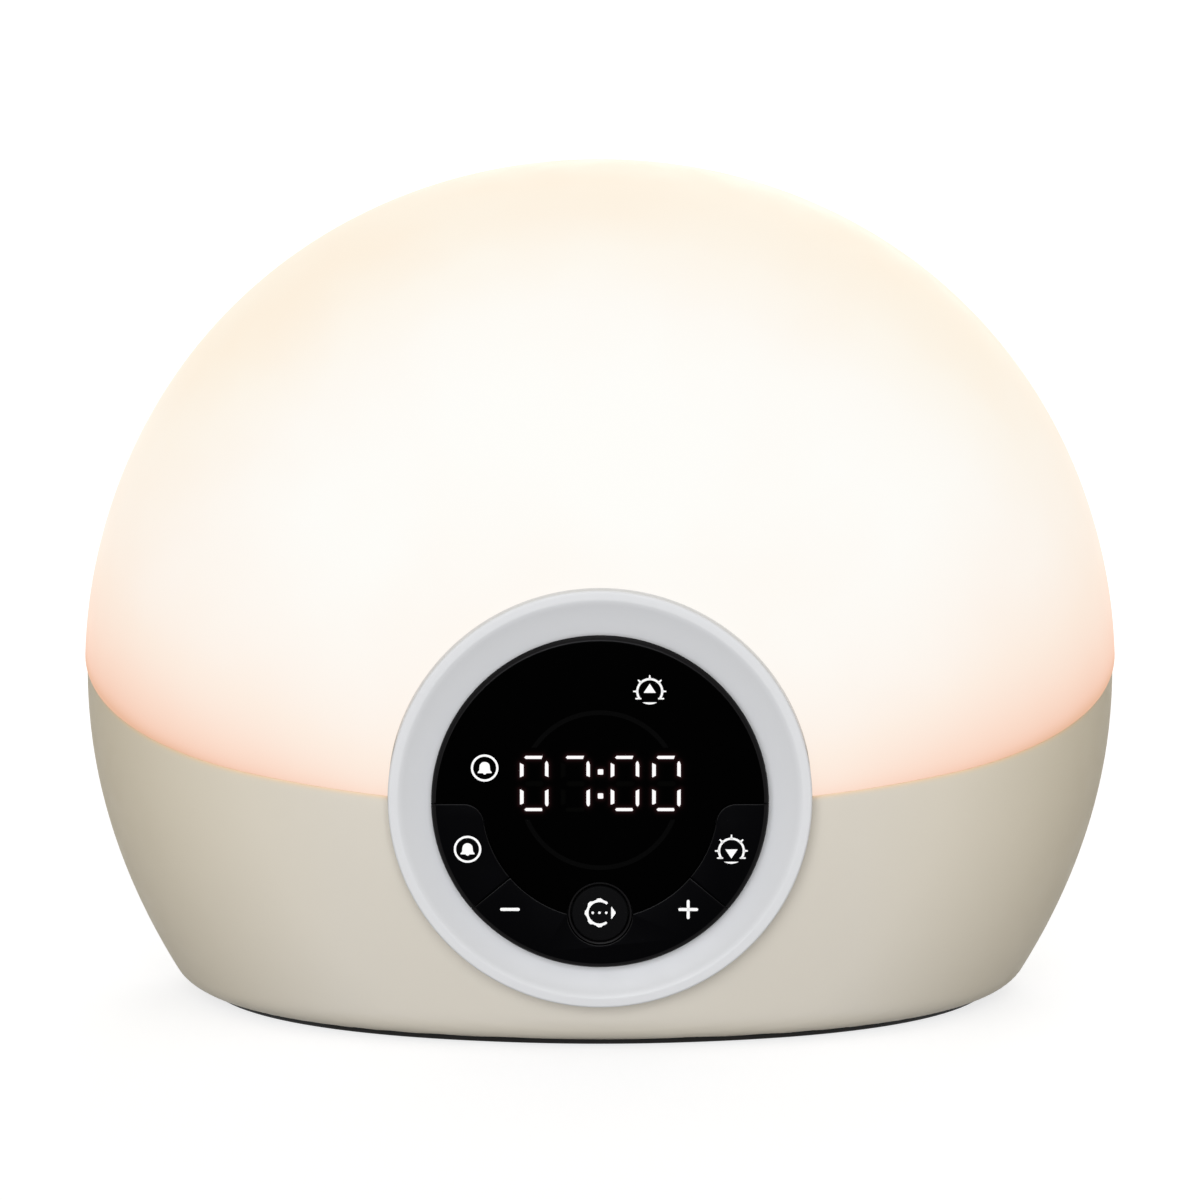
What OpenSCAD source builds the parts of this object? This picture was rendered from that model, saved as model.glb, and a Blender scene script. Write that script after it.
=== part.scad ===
// Sunrise alarm clock. A round body, cut flat below, carries an opal light dome over a
// beige base, and a round display with keys sits low on the front. The front faces -Y,
// +X is on the right of a person who looks at the display, and the clock stands on Z = 0.

/* [Body] */
// Radius of the round body, seen from the front
body_r = 105; // [96:1:116]
// Height of the body's axis above the surface that the clock stands on
axis_h = 65; // [58:1:74]
// Depth of the body in front of its widest circle
front_depth = 64; // [60:0.5:74]
// Depth of the body behind its widest circle
back_depth = 45.5; // [42:0.5:56]
// Radius of the shoulder that turns into the front
front_shoulder = 55; // [45:1:57]
// Radius of the shoulder that turns into the back
back_shoulder = 34; // [22:1:38]
// Depth of the wall's inner face below the diffuser's surface
wall = 2.5; // [2:0.1:3.2]
// Step from the diffuser's surface in to the base and rear shells
shell_step = 0.5; // [0.2:0.1:0.9]
// Height of the seam between diffuser and base at the widest circle
seam_h = 71.2; // [62:0.2:84]
// Tilt of the seam in degrees, lower at the front
seam_tilt = 18.9; // [8:0.1:24]
// Place of the rear joint behind the widest circle
split_back = 14; // [12:0.5:20]
// Reach of the lips inside the seam and the rear joint
lip = 3; // [2:0.5:4]
// Thickness of those lips
lip_wall = 1.2; // [1:0.1:2]

/* [Underside] */
// Height of the shells' lower edge
shell_bottom = 1.2; // [1:0.1:2]
// Thickness of the shells' floor
floor_t = 2; // [1.6:0.1:3]
// Width of the bevel round the lower edge
bevel_w = 2.4; // [1.6:0.1:2.6]
// Height of that bevel
bevel_h = 2.8; // [2:0.1:5]
// Thickness of the bottom plate
plate_t = 1.6; // [1.3:0.1:2.4]
// Depth of the bottom plate's edge inside the body's surface
plate_inset = 3.6; // [3.4:0.1:8]
// Height of the feet below the plate
foot_stand = 0.4; // [0.3:0.1:1]
// Radius of each foot
foot_r = 7; // [5:0.5:9]
// Distance of the front feet to the left and right
foot_x = 54; // [40:1:60]
// Distance of the rear feet to the left and right
foot_rear_x = 44; // [30:1:50]
// Distance of the front feet in front of the widest circle
foot_front = 24; // [18:1:28]
// Distance of the rear feet behind the widest circle
foot_back = 16; // [10:1:20]

/* [Display ring and drum] */
// Height of the display's axis
display_h = 51.2; // [48:0.1:58]
// Outer radius of the bezel ring
ring_r = 40.8; // [39:0.1:44]
// Width of the ring's flat lip
ring_lip = 2.2; // [1.5:0.1:3]
// Height of the lip in front of the body
ring_proud = 0.5; // [0.3:0.1:3]
// Depth of the ring's dish behind its lip
dish = 1.8; // [0.8:0.1:2.2]
// Thickness of the ring's dish and skirt
ring_wall = 1.6; // [1.2:0.1:2]
// Radius of the display drum
drum_r = 32.4; // [32:0.1:33]
// Height of the drum's face in front of the ring's lip
drum_proud = 2.5; // [2.3:0.1:4.5]
// Wall of the drum
drum_wall = 1.8; // [1.4:0.1:2.2]
// Thickness of the drum's deck
deck_t = 2; // [1.8:0.1:2.4]
// Depth from the drum's flange to the ring's lip
drum_depth = 13; // [12:0.5:15]
// Bevel round the drum's face
rim_bevel = 0.8; // [0.4:0.1:1.2]
// Thickness of the lens
lens_t = 2; // [1.5:0.1:2.4]

/* [Keys] */
// Radius of the lens's lower arc, where the keys start
key_r = 22.4; // [21.8:0.1:22.8]
// Angle of the alarm key and the light key
key_angle = 40; // [36:1:44]
// Gap round each key
key_gap = 0.3; // [0.25:0.05:0.4]
// Fillet at the upper inner corner of the outer keys
key_corner = 4; // [2:0.5:5]
// Thickness of the key caps
cap_t = 1.9; // [1.5:0.1:2.2]
// Travel of each key
key_travel = 0.5; // [0.3:0.05:0.6]
// Clearance behind a key that is pressed home
cap_clear = 0.6; // [0.4:0.05:1]
// Radius of the keys' guide posts
post_r = 1.6; // [1.4:0.1:1.8]
// Distance of the posts and switches from the display's axis
post_ring = 24.8; // [24.6:0.1:25.2]
// Running clearance of posts, stems and plungers
run_gap = 0.06; // [0.04:0.01:0.09]
// Distance of the menu button below the display's axis
menu_drop = 21.6; // [20:0.1:21.7]
// Radius of the menu button
menu_r = 5.4; // [4.8:0.1:5.6]
// Outer radius of the collar round the menu button
collar_r = 6.1; // [5.9:0.05:6.5]
// Clearance of the menu button in its collar
menu_gap = 0.2; // [0.15:0.05:0.3]
// Radius of the menu button's stem
stem_r = 2; // [1.7:0.1:2.3]
// Radius of the rocker's pin
pin_r = 0.6; // [0.5:0.05:0.7]
// Tilt of the rocker each way in degrees
rocker_tilt = 1.2; // [0.8:0.1:1.5]

/* [Control board] */
// Thickness of the circuit boards
board_t = 1.6; // [1:0.1:2]
// Depth of the control board's front behind the drum's deck
board_drop = 6.5; // [6:0.1:7]
// Width of a switch body
switch_w = 6; // [5:0.1:6.4]
// Height of a switch body
switch_h = 3.5; // [3:0.1:4]
// Width of the digit module
module_w = 38; // [34:0.5:39]
// Height of the digit module
module_h = 16; // [14:0.5:18]
// Distance of the digits above the display's axis
digit_rise = 3.7; // [3:0.1:5]
// Radius of the indicator light pipes
pipe_r = 1.5; // [1:0.1:1.8]

/* [Light source] */
// Thickness of the reflector plate
reflector_t = 1.6; // [1.2:0.1:2.4]
// Depth of the reflector's rim
reflector_rim = 8; // [5:0.5:12]
// Height of the light board's centre above the body's axis
light_rise = 34; // [30:1:38]
// Width of the light board
light_w = 84; // [70:1:92]
// Height of the light board
light_h = 44; // [36:1:50]
// Thickness of the heat spreader
spreader_t = 2; // [1:0.1:3]
// Columns of light-emitting diodes
led_columns = 6; // [3:1:8]
// Rows of light-emitting diodes
led_rows = 3; // [2:1:4]
// Width of one diode package
led_w = 3.5; // [2.8:0.1:4]
// Height of one diode package
led_h = 1.4; // [0.8:0.1:2]

/* [Electronics] */
// Width of the main board
main_w = 84; // [76:1:90]
// Height of the main board
main_h = 46; // [42:1:50]
// Distance of the main board's centre below the body's axis
main_drop = 22; // [20:0.5:24]
// Depth of the main board behind the reflector
main_gap = 11; // [9:0.5:12]
// Distance of the power inlet to the right
jack_x = 24; // [18:1:30]
// Distance of the power inlet below the body's axis
jack_drop = 34; // [30:1:37]
// Radius of the power inlet's bore
jack_bore_r = 2.85; // [2.7:0.05:3]
// Radius of the power inlet's centre pin
jack_pin_r = 1.05; // [0.9:0.05:1.3]
// Depth of the power inlet's bore
jack_bore_depth = 9; // [8:0.5:10]
// Width of the power inlet's housing
jack_w = 9; // [8:0.5:11]
// Radius of the speaker
speaker_r = 18; // [14:0.5:20]
// Height of the speaker's centre above the body's axis
speaker_rise = 34; // [28:1:40]
// Radius of one sound hole
grille_hole_r = 1; // [0.8:0.1:1.4]
// Distance between sound holes
grille_pitch = 5; // [4:0.5:6]

// Number of cooling slots in the back
vent_count = 5; // [3:1:6]
// Width of one cooling slot
vent_w = 36; // [24:1:40]
// Height of one cooling slot
vent_h = 2; // [1.4:0.1:3]
// Distance between cooling slots
vent_pitch = 5; // [4:0.5:6]

/* [Screws] */
// Radius of the case screws' shafts
screw_r = 1.4; // [1.2:0.05:1.6]
// Radius of the case screws' heads
head_r = 2.7; // [2.4:0.1:3]
// Height of the screw heads
head_t = 1.6; // [1:0.1:2]
// Radius of the small screws' shafts
small_r = 1; // [0.8:0.05:1.1]
// Clearance of a screw in its hole
screw_gap = 0.05; // [0.03:0.01:0.1]
// Radius of the bosses
boss_r = 4; // [3.6:0.1:4.6]
// Distance of the rear screws to the left and right
rear_screw_x = 60; // [54:1:64]
// Distance of the lower rear screws below the body's axis
rear_screw_low = 34; // [30:1:38]
// Distance of the upper rear screws above the body's axis
rear_screw_high = 56; // [48:1:60]

/* [Hidden] */

// Larger than the clock, for half-spaces
far = 300;
// Clearance between pieces that are pushed into each other
fit_gap = 0.15;
// Clearance of a screw's shaft and head in the piece that it clamps
screw_slack = 0.2;
head_slack = 0.3;
// Steps that draw the shoulder and the crown of the body's outline
shoulder_steps = 12;
crown_steps = 6;

// Place of the widest circle, which puts the origin under the middle of the clock's depth
wide_y = (front_depth + ring_proud + drum_proud - back_depth + shell_step) / 2;
// Other places along Y, from the front to the back
split_y = wide_y + split_back;
lip_y = wide_y - front_depth - ring_proud;
face_y = lip_y - drum_proud;
lens_back_y = face_y + lens_t;
cap_back_y = face_y + cap_t;
deck_y = cap_back_y + max(key_travel, drum_r * cos(key_angle) * sin(rocker_tilt)) + cap_clear;
deck_back_y = deck_y + deck_t;
dish_y = lip_y + dish;
dish_back_y = dish_y + ring_wall;
flange_y = lip_y + drum_depth;
flange_t = 2;
cover_y = flange_y + flange_t;
cover_t = 1.6;
board_y = deck_back_y + board_drop;
board_back_y = board_y + board_t;
switch_y = board_y - switch_h;
reflector_back_y = split_y - lip;
reflector_y = reflector_back_y - reflector_t;
light_board_y = reflector_y - spreader_t - board_t;
main_y = reflector_back_y + main_gap;
main_back_y = main_y + board_t;

// Heights
plate_z = foot_stand;
plate_top = plate_z + plate_t;
foot_top = plate_z + plate_t / 2;
floor_top = plate_top + floor_t;
light_h_mid = axis_h + light_rise;
main_h_mid = axis_h - main_drop;
jack_h = axis_h - jack_drop;
speaker_h = axis_h + speaker_rise;

// Sizes that follow
drum_inner_r = drum_r - drum_wall;
ring_hole_r = drum_r + fit_gap;
ring_inner_r = ring_r - ring_wall;
ring_boss_r = (ring_inner_r - ring_hole_r) / 2 - 0.5;
ring_boss_ring = (ring_inner_r + ring_hole_r) / 2;
flange_r = ring_r - 0.6;
cover_lug = 45;
cover_lug_drop = 17;
lug_r = 3.8;
board_r = drum_inner_r - 1;
plunger_r = post_r - 0.1;
post_end_y = switch_y - 1.4;
floor_boss_h = 8;
tab_x = 38;
tab_w = 12;
tab_t = 2;
tab_reach = 14;
plate_screws = [for (place = [[64, -6], [30, 24]], side = [-1, 1]) [side * place[0], wide_y + place[1]]];
rib_w = 3.2;
rib_l = 2;
rib_drop = (menu_drop + collar_r + drum_r) / 2 - 0.9;
basket_t = 4;
magnet_t = 5;
magnet_r = 9;
wire_r = 0.75;
wire_edge = 7;
plug_w = 12;
plug_t = 6;
plug_rise = 17;
ribbon_w = 12;
ribbon_t = 0.8;
ribbon_x = -14;

// ---- Shape of the body ----

// Distance from the widest circle to the centre of the crown's arc
function crown_back(depth, shoulder) =
    let (a = body_r - shoulder, b = depth - shoulder) (a * a - b * b) / (2 * b);

// Angle that the crown's arc covers on one side of the axis
function crown_angle(depth, shoulder) =
    atan2(body_r - shoulder, crown_back(depth, shoulder));

// Half of the body's outline, from the widest circle to the axis, as [radius, y]
function arch(depth, shoulder, inset, side) =
    let (
        k = crown_back(depth, shoulder),
        turn = crown_angle(depth, shoulder),
        shoulder_r = shoulder - inset,
        crown_r = depth + k - inset
    )
    concat(
        [for (i = [0:shoulder_steps])
            let (a = (90 - turn) * i / shoulder_steps)
            [body_r - shoulder + shoulder_r * cos(a), side * shoulder_r * sin(a)]],
        [for (i = [1:crown_steps])
            let (a = turn * (1 - i / crown_steps))
            [crown_r * sin(a), side * (crown_r * cos(a) - k)]]
    );

// Distance of the body's surface from the widest circle, at a radius from its axis
function surface_y(depth, shoulder, radius, inset) =
    let (
        k = crown_back(depth, shoulder),
        crown_r = depth + k - inset
    )
    radius < crown_r * sin(crown_angle(depth, shoulder))
        ? sqrt(crown_r * crown_r - radius * radius) - k
        : sqrt(max(0, pow(shoulder - inset, 2) - pow(radius - body_r + shoulder, 2)));

function front_y(x, z, inset) =
    wide_y - surface_y(front_depth, front_shoulder, norm([x, z - axis_h]), inset);
function back_y(x, z, inset) =
    wide_y + surface_y(back_depth, back_shoulder, norm([x, z - axis_h]), inset);

// Half of the body's width at a height
function half_width(z) = sqrt(body_r * body_r - pow(z - axis_h, 2));

// Spins an outline of [radius, y] points about a line along Y at a height
module spin_y(height) {
    translate([0, 0, height])
        rotate([-90, 0, 0])
            rotate_extrude($fn = 120) children();
}

// A cylinder along Y from y1 back to y2
module rod_y(x, z, y1, y2, r) {
    translate([x, y1, z])
        rotate([-90, 0, 0])
            cylinder(r = r, h = y2 - y1, $fn = 48);
}

// A cylinder along Z from z1 up to z2
module rod_z(x, y, z1, z2, r) {
    translate([x, y, z1]) cylinder(r = r, h = z2 - z1, $fn = 48);
}

// A block between two corners
module block(low, high) {
    translate(low) cube(high - low);
}

// A drawing on the display's face, drawn round its axis, from y1 back to y2
module on_face(y1, y2) {
    translate([0, y2, display_h])
        rotate([90, 0, 0])
            linear_extrude(y2 - y1) children();
}

// The whole body, its surface moved in by an inset
module body_form(inset) {
    front = arch(front_depth, front_shoulder, inset, -1);
    back = arch(back_depth, back_shoulder, inset, 1);
    outline = concat([for (i = [len(front) - 1:-1:0]) front[i]], [for (i = [1:len(back) - 1]) back[i]]);
    translate([0, wide_y, 0]) spin_y(axis_h) polygon(outline);
}

// The space above the seam, or above a plane parallel to it
module above_seam(rise) {
    translate([0, wide_y, seam_h + rise])
        rotate([seam_tilt, 0, 0])
            translate([-far, -far, 0]) cube([2 * far, 2 * far, far]);
}

// The space inside the bevelled lower edge, wide open above it
module bevelled_foot() {
    side = half_width(shell_bottom) - bevel_w;
    front = front_y(0, shell_bottom, shell_step) + bevel_w;
    back = back_y(0, shell_bottom, shell_step) - bevel_w;
    out = 3;
    intersection() {
        translate([0, far, 0])
            rotate([90, 0, 0])
                linear_extrude(2 * far)
                    polygon([
                        [-side, shell_bottom], [side, shell_bottom],
                        [side + out * bevel_w * 1.6, shell_bottom + out * bevel_h], [side + far, far],
                        [-side - far, far], [-side - out * bevel_w * 1.6, shell_bottom + out * bevel_h]
                    ]);
        translate([-far, 0, 0])
            rotate([90, 0, 90])
                linear_extrude(2 * far)
                    polygon([
                        [front, shell_bottom], [back, shell_bottom],
                        [back + out * bevel_w * 1.2, shell_bottom + out * bevel_h], [back + far, far],
                        [front - far, far], [front - out * bevel_w * 1.2, shell_bottom + out * bevel_h]
                    ]);
    }
}

// The hollow of the body above its floor
module hollow() {
    intersection() {
        body_form(wall);
        block([-far, -far, floor_top], [far, far, far]);
    }
}

// The bottom plate's outline as a slab, grown by a clearance
module plate_slab(grow, top) {
    intersection() {
        body_form(plate_inset - grow);
        block([-far, -far, plate_z], [far, far, top]);
    }
}

// The round hole for the bezel ring
module ring_opening() {
    rod_y(0, display_h, face_y, wide_y, ring_r + fit_gap);
}

// ---- Shells ----

module diffuser() {
    color("#fdf3e4")
        difference() {
            intersection() {
                body_form(0);
                above_seam(0);
                block([-far, -far, 0], [far, split_y, far]);
            }
            body_form(wall);
            ring_opening();
        }
}

// Blind boss that stands on the floor, with a hole from below
module floor_boss(x, y) {
    rod_z(x, y, plate_top, floor_top + floor_boss_h, boss_r);
}

module floor_boss_hole(x, y) {
    rod_z(x, y, 0, floor_top + floor_boss_h - 1, screw_r + screw_gap);
}

// Boss on the base's floor that a reflector tab is screwed down to
module tab_boss(x) {
    rod_z(x, tab_screw_y(), plate_top, floor_top + floor_boss_h, boss_r);
}

function tab_screw_y() = reflector_y - tab_reach + 5;

// Lip along the base's upper edge: its root is part of the wall, its top stands in the dome
module base_lip() {
    difference() {
        intersection() {
            union() {
                body_form(wall + fit_gap);
                difference() {
                    body_form(wall - 0.1);
                    above_seam(-fit_gap);
                }
            }
            above_seam(-lip);
            block([-far, -far, floor_top], [far, reflector_y - fit_gap, far]);
        }
        above_seam(lip);
        body_form(wall + fit_gap + lip_wall);
    }
}

module base_shell() {
    lug_z = display_h - cover_lug_drop;
    color("#cdc7bb")
        difference() {
            union() {
                difference() {
                    intersection() {
                        body_form(shell_step);
                        bevelled_foot();
                        block([-far, -far, shell_bottom], [far, split_y, far]);
                    }
                    above_seam(0);
                    hollow();
                }
                base_lip();
                intersection() {
                    body_form(wall - 0.1);
                    union() {
                        for (side = [-1, 1])
                            rod_y(side * cover_lug, lug_z, lip_y, cover_y, lug_r);
                    }
                }
                for (side = [-1, 1]) tab_boss(side * tab_x);
                for (i = [0, 1]) floor_boss(plate_screws[i][0], plate_screws[i][1]);
            }
            ring_opening();
            plate_slab(fit_gap, plate_top);
            for (side = [-1, 1]) {
                rod_y(side * cover_lug, lug_z, cover_y - 3, cover_y + 1, small_r + screw_gap);
                rod_z(
                    side * tab_x, tab_screw_y(), floor_top, floor_top + floor_boss_h + 1,
                    screw_r + screw_gap
                );
            }
            for (i = [0, 1]) floor_boss_hole(plate_screws[i][0], plate_screws[i][1]);
        }
}

// Place of each rear screw, as [x, z]
function rear_places() = [
    for (side = [-1, 1], z = [axis_h - rear_screw_low, axis_h + rear_screw_high]) [side * rear_screw_x, z]
];

// Face of the rear bosses, where they meet the reflector's posts
rear_joint_y = reflector_back_y + 5;
rear_seat_y = rear_joint_y + 4;

// Lip round the rear housing's front edge: its root is part of the wall
module rear_lip() {
    difference() {
        union() {
            intersection() {
                body_form(wall + fit_gap);
                block([-far, split_y - lip, floor_top], [far, split_y + lip, far]);
            }
            intersection() {
                body_form(wall - 0.1);
                block([-far, split_y + fit_gap, floor_top - 0.1], [far, split_y + lip, far]);
            }
        }
        body_form(wall + fit_gap + lip_wall);
    }
}

module rear_housing() {
    color("#c9c2b4")
        difference() {
            union() {
                difference() {
                    intersection() {
                        body_form(shell_step);
                        bevelled_foot();
                        block([-far, split_y, shell_bottom], [far, far, far]);
                    }
                    hollow();
                }
                rear_lip();
                intersection() {
                    body_form(wall - 0.1);
                    union() {
                        for (p = rear_places()) rod_y(p[0], p[1], rear_joint_y, far, boss_r);
                        rod_y(0, speaker_h, speaker_y() - 3, far, speaker_r + 2.5);
                    }
                }
                for (i = [2, 3]) floor_boss(plate_screws[i][0], plate_screws[i][1]);
            }
            plate_slab(fit_gap, plate_top);
            for (p = rear_places()) {
                rod_y(p[0], p[1], 0, far, screw_r + screw_gap);
                rod_y(p[0], p[1], rear_seat_y, far, head_r + head_slack);
            }
            for (i = [2, 3]) floor_boss_hole(plate_screws[i][0], plate_screws[i][1]);
            rod_y(jack_x, jack_h, 0, far, jack_bore_r + 0.8);
            rod_y(0, speaker_h, 0, speaker_y() + speaker_rim_t, speaker_r + fit_gap);
            sound_holes();
            vent_slots();
        }
}

// The speaker's rim seats in a collar on the rear wall
speaker_rim_t = 2;
function speaker_y() = back_y(speaker_r + 2.5, speaker_h, wall) - speaker_rim_t - 1;

module sound_holes() {
    for (i = [-2:2], j = [-2:2])
        if (norm([i, j]) < 2.5)
            rod_y(i * grille_pitch, speaker_h + j * grille_pitch, speaker_y(), far, grille_hole_r);
}

// Cooling slots across the back, behind the main board
module vent_slots() {
    for (i = [0:vent_count - 1]) {
        z = axis_h - i * vent_pitch;
        block([-vent_w / 2, main_back_y, z], [vent_w / 2, far, z + vent_h]);
    }
}

// ---- Underside ----

function foot_places() = [
    for (side = [-1, 1], place = [[foot_x, -foot_front], [foot_rear_x, foot_back]])
        [side * place[0], wide_y + place[1]]
];

module bottom_plate() {
    color("#17171a")
        difference() {
            plate_slab(0, plate_top);
            for (p = foot_places()) rod_z(p[0], p[1], 0, foot_top, foot_r + fit_gap);
            for (p = plate_screws) {
                rod_z(p[0], p[1], 0, floor_top, screw_r + screw_slack);
                rod_z(p[0], p[1], 0, foot_top, head_r + head_slack);
            }
        }
}

module feet() {
    color("#202022")
        for (p = foot_places()) rod_z(p[0], p[1], 0, foot_top, foot_r);
}

module bottom_screws() {
    color("#8d9094")
        for (p = plate_screws) {
            rod_z(p[0], p[1], plate_z + 0.1, foot_top, head_r);
            rod_z(p[0], p[1], plate_z + 0.1, floor_top + floor_boss_h - 2, screw_r);
        }
}

// ---- Bezel ring and drum ----

// Places of the ring's four screw bosses
function ring_places() = [
    for (a = [45:90:315]) [ring_boss_ring * cos(a), display_h + ring_boss_ring * sin(a)]
];

module bezel_ring() {
    edge = 0.6;
    dish_steps = 5;
    dish_out = ring_r - ring_lip;
    dish_rise = 0.8 * dish;
    color("#dadbe0")
        difference() {
            union() {
                spin_y(display_h)
                    polygon(concat(
                        [[ring_r, flange_y], [ring_r, lip_y + edge]],
                        [[ring_r - edge, lip_y], [dish_out, lip_y]],
                        [for (i = [0:dish_steps])
                            let (s = i / dish_steps)
                            [dish_out + (ring_hole_r - dish_out) * s, dish_y - dish_rise * pow(1 - s, 2)]],
                        [[ring_hole_r, dish_back_y], [ring_inner_r, dish_back_y]],
                        [[ring_inner_r, flange_y]]
                    ));
                for (p = ring_places()) rod_y(p[0], p[1], dish_back_y - 0.4, flange_y, ring_boss_r);
            }
            for (p = ring_places()) rod_y(p[0], p[1], dish_back_y + 1, flange_y + 1, small_r + screw_gap);
        }
}

// The drum's outer form, with the bevel round its face
module drum_form() {
    spin_y(display_h)
        polygon([
            [0, face_y], [drum_r - rim_bevel, face_y], [drum_r, face_y + rim_bevel],
            [drum_r, flange_y], [0, flange_y]
        ]);
}

// The part of the face that the keys take up, less a gap
module key_zone(gap) {
    inner = key_r + gap;
    drop = key_corner + gap;
    fillet_x = sqrt(pow(inner + key_corner, 2) - drop * drop);
    reach = inner / (inner + key_corner);
    inside = 0.98 * reach;
    difference() {
        circle(r = drum_r, $fn = 120);
        circle(r = inner, $fn = 120);
        translate([-far, -gap]) square([2 * far, far]);
        for (side = [-1, 1])
            difference() {
                polygon([
                    [side * fillet_x, -drop], [side * fillet_x, 0], [side * (inner - key_corner), 0],
                    [side * fillet_x * inside, -drop * inside], [side * fillet_x * reach, -drop * reach]
                ]);
                translate([side * fillet_x, -drop]) circle(r = key_corner, $fn = 64);
            }
    }
}

// A wedge of the face between two angles, less a gap on both sides
module wedge(a1, a2, gap) {
    reach = 2 * drum_r;
    mid = (a1 + a2) / 2;
    start = gap / sin((a2 - a1) / 2);
    translate([start * cos(mid), start * sin(mid)])
        polygon([
            [0, 0], [reach * cos(a1), reach * sin(a1)],
            [2 * reach * cos(mid), 2 * reach * sin(mid)], [reach * cos(a2), reach * sin(a2)]
        ]);
}

module at_menu() {
    translate([0, -menu_drop]) children();
}

module lens_outline(gap) {
    difference() {
        circle(r = drum_r, $fn = 120);
        key_zone(-gap);
        at_menu() circle(r = collar_r + fit_gap, $fn = 96);
    }
}

// Place of a post on the face, on one side and at an angle below the display's axis
function post_place(side, angle) = [side * post_ring * cos(angle), -post_ring * sin(angle)];
board_post_angles = [8, 112, 178, 287];
board_post_ring = 26.3;
board_post_r = 2;
outer_post_angle = 20;
rocker_post_angle = 50;

module light_pipe_holes(r) {
    for (p = indicator_places()) translate(p) circle(r = r, $fn = 48);
}

// Places of the bell indicator and the sunrise indicator
function indicator_places() = [[-22, 6.6], [9.5, 21.6]];

module module_window(grow) {
    translate([-module_w / 2 - grow, digit_rise - module_h / 2 - grow])
        square([module_w + 2 * grow, module_h + 2 * grow]);
}

module display_drum() {
    slot_gap = 0.35;
    color("#151516")
        difference() {
            union() {
                difference() {
                    intersection() {
                        drum_form();
                        block([-far, deck_y, 0], [far, far, far]);
                    }
                    rod_y(0, display_h, deck_back_y, far, drum_inner_r);
                }
                intersection() {
                    drum_form();
                    on_face(lens_back_y, deck_y + 0.2) lens_outline(0);
                }
                on_face(face_y + 0.2, deck_y + 0.2) at_menu() circle(r = collar_r, $fn = 96);
                difference() {
                    rod_y(0, display_h, flange_y, cover_y, flange_r);
                    rod_y(0, display_h, flange_y - 1, cover_y + 1, drum_inner_r);
                }
                for (a = board_post_angles)
                    rod_y(
                        board_post_ring * cos(a), display_h + board_post_ring * sin(a),
                        deck_back_y - 0.2, board_y, board_post_r
                    );
            }
            on_face(face_y, deck_y) at_menu() circle(r = menu_r + menu_gap, $fn = 96);
            on_face(face_y, deck_back_y + 1) {
                at_menu() circle(r = stem_r + run_gap, $fn = 48);
                for (side = [-1, 1]) {
                    translate(post_place(side, outer_post_angle)) circle(r = post_r + run_gap, $fn = 48);
                    translate(post_place(side, rocker_post_angle)) circle(r = post_r + slot_gap, $fn = 48);
                }
                light_pipe_holes(pipe_r + 0.05);
                module_window(0.2);
                translate([-rib_w / 2 - slot_gap, -rib_drop - rib_l / 2 - slot_gap])
                    square([rib_w + 2 * slot_gap, rib_l + 2 * slot_gap]);
            }
            translate([0, pin_y(), display_h - rib_drop])
                cylinder(r = pin_r + 0.02, h = pin_l, center = true, $fn = 48);
            for (p = ring_places()) rod_y(p[0], p[1], flange_y - 1, cover_y + 1, small_r + screw_slack);
        }
}

// The rocker's pin lies inside the deck, along Z
pin_l = 4.8;
function pin_y() = deck_y + deck_t / 2;

module display_lens() {
    color("#030304")
        intersection() {
            drum_form();
            on_face(face_y, lens_back_y) lens_outline(0);
        }
}

module display_back_cover() {
    lug_z = display_h - cover_lug_drop;
    color("#1b1b1d")
        difference() {
            union() {
                rod_y(0, display_h, cover_y, cover_y + cover_t, flange_r);
                for (side = [-1, 1]) {
                    rod_y(side * cover_lug, lug_z, cover_y, cover_y + cover_t, lug_r);
                    block(
                        [min(0, side * cover_lug), cover_y, lug_z - lug_r],
                        [max(0, side * cover_lug), cover_y + cover_t, lug_z + lug_r]
                    );
                }
                difference() {
                    rod_y(0, display_h, board_back_y, cover_y + 0.2, drum_inner_r - fit_gap);
                    rod_y(0, display_h, board_back_y - 1, cover_y + 1, drum_inner_r - fit_gap - 1.6);
                }
            }
            for (p = ring_places())
                rod_y(p[0], p[1], cover_y - 1, cover_y + cover_t + 1, small_r + screw_slack);
            for (side = [-1, 1])
                rod_y(side * cover_lug, lug_z, cover_y - 1, cover_y + cover_t + 1, small_r + screw_slack);
            block(
                [ribbon_x - ribbon_w / 2 - 1, cover_y - 1, ribbon_top - 5],
                [ribbon_x + ribbon_w / 2 + 1, far, ribbon_top + 1]
            );
        }
}

module small_screw(x, z, y, length) {
    rod_y(x, z, y - length, y + 0.1, small_r);
    rod_y(x, z, y, y + 1.2, small_r * 1.9);
}

module ring_screws() {
    color("#a4a7ab")
        for (p = ring_places()) small_screw(p[0], p[1], cover_y + cover_t, cover_t + flange_t + 4);
}

module cover_screws() {
    color("#a4a7ab")
        for (side = [-1, 1])
            small_screw(side * cover_lug, display_h - cover_lug_drop, cover_y + cover_t, cover_t + 2.6);
}

// ---- Keys ----

// One key cap cut from the face, less the gaps round it
module key_cap(a1, a2) {
    intersection() {
        drum_form();
        on_face(face_y, cap_back_y)
            difference() {
                intersection() {
                    key_zone(key_gap);
                    wedge(a1, a2, key_gap / 2);
                }
                at_menu() circle(r = collar_r + key_gap, $fn = 96);
            }
    }
}

module outer_key(side) {
    p = post_place(side, outer_post_angle);
    union() {
        key_cap(side < 0 ? 170 : -key_angle, side < 0 ? 180 + key_angle : 10);
        rod_y(p[0], display_h + p[1], cap_back_y - 0.2, post_end_y, post_r);
    }
}

module alarm_key() {
    color("#0c0c0d") outer_key(-1);
}

module light_key() {
    color("#0c0c0d") outer_key(1);
}

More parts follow.
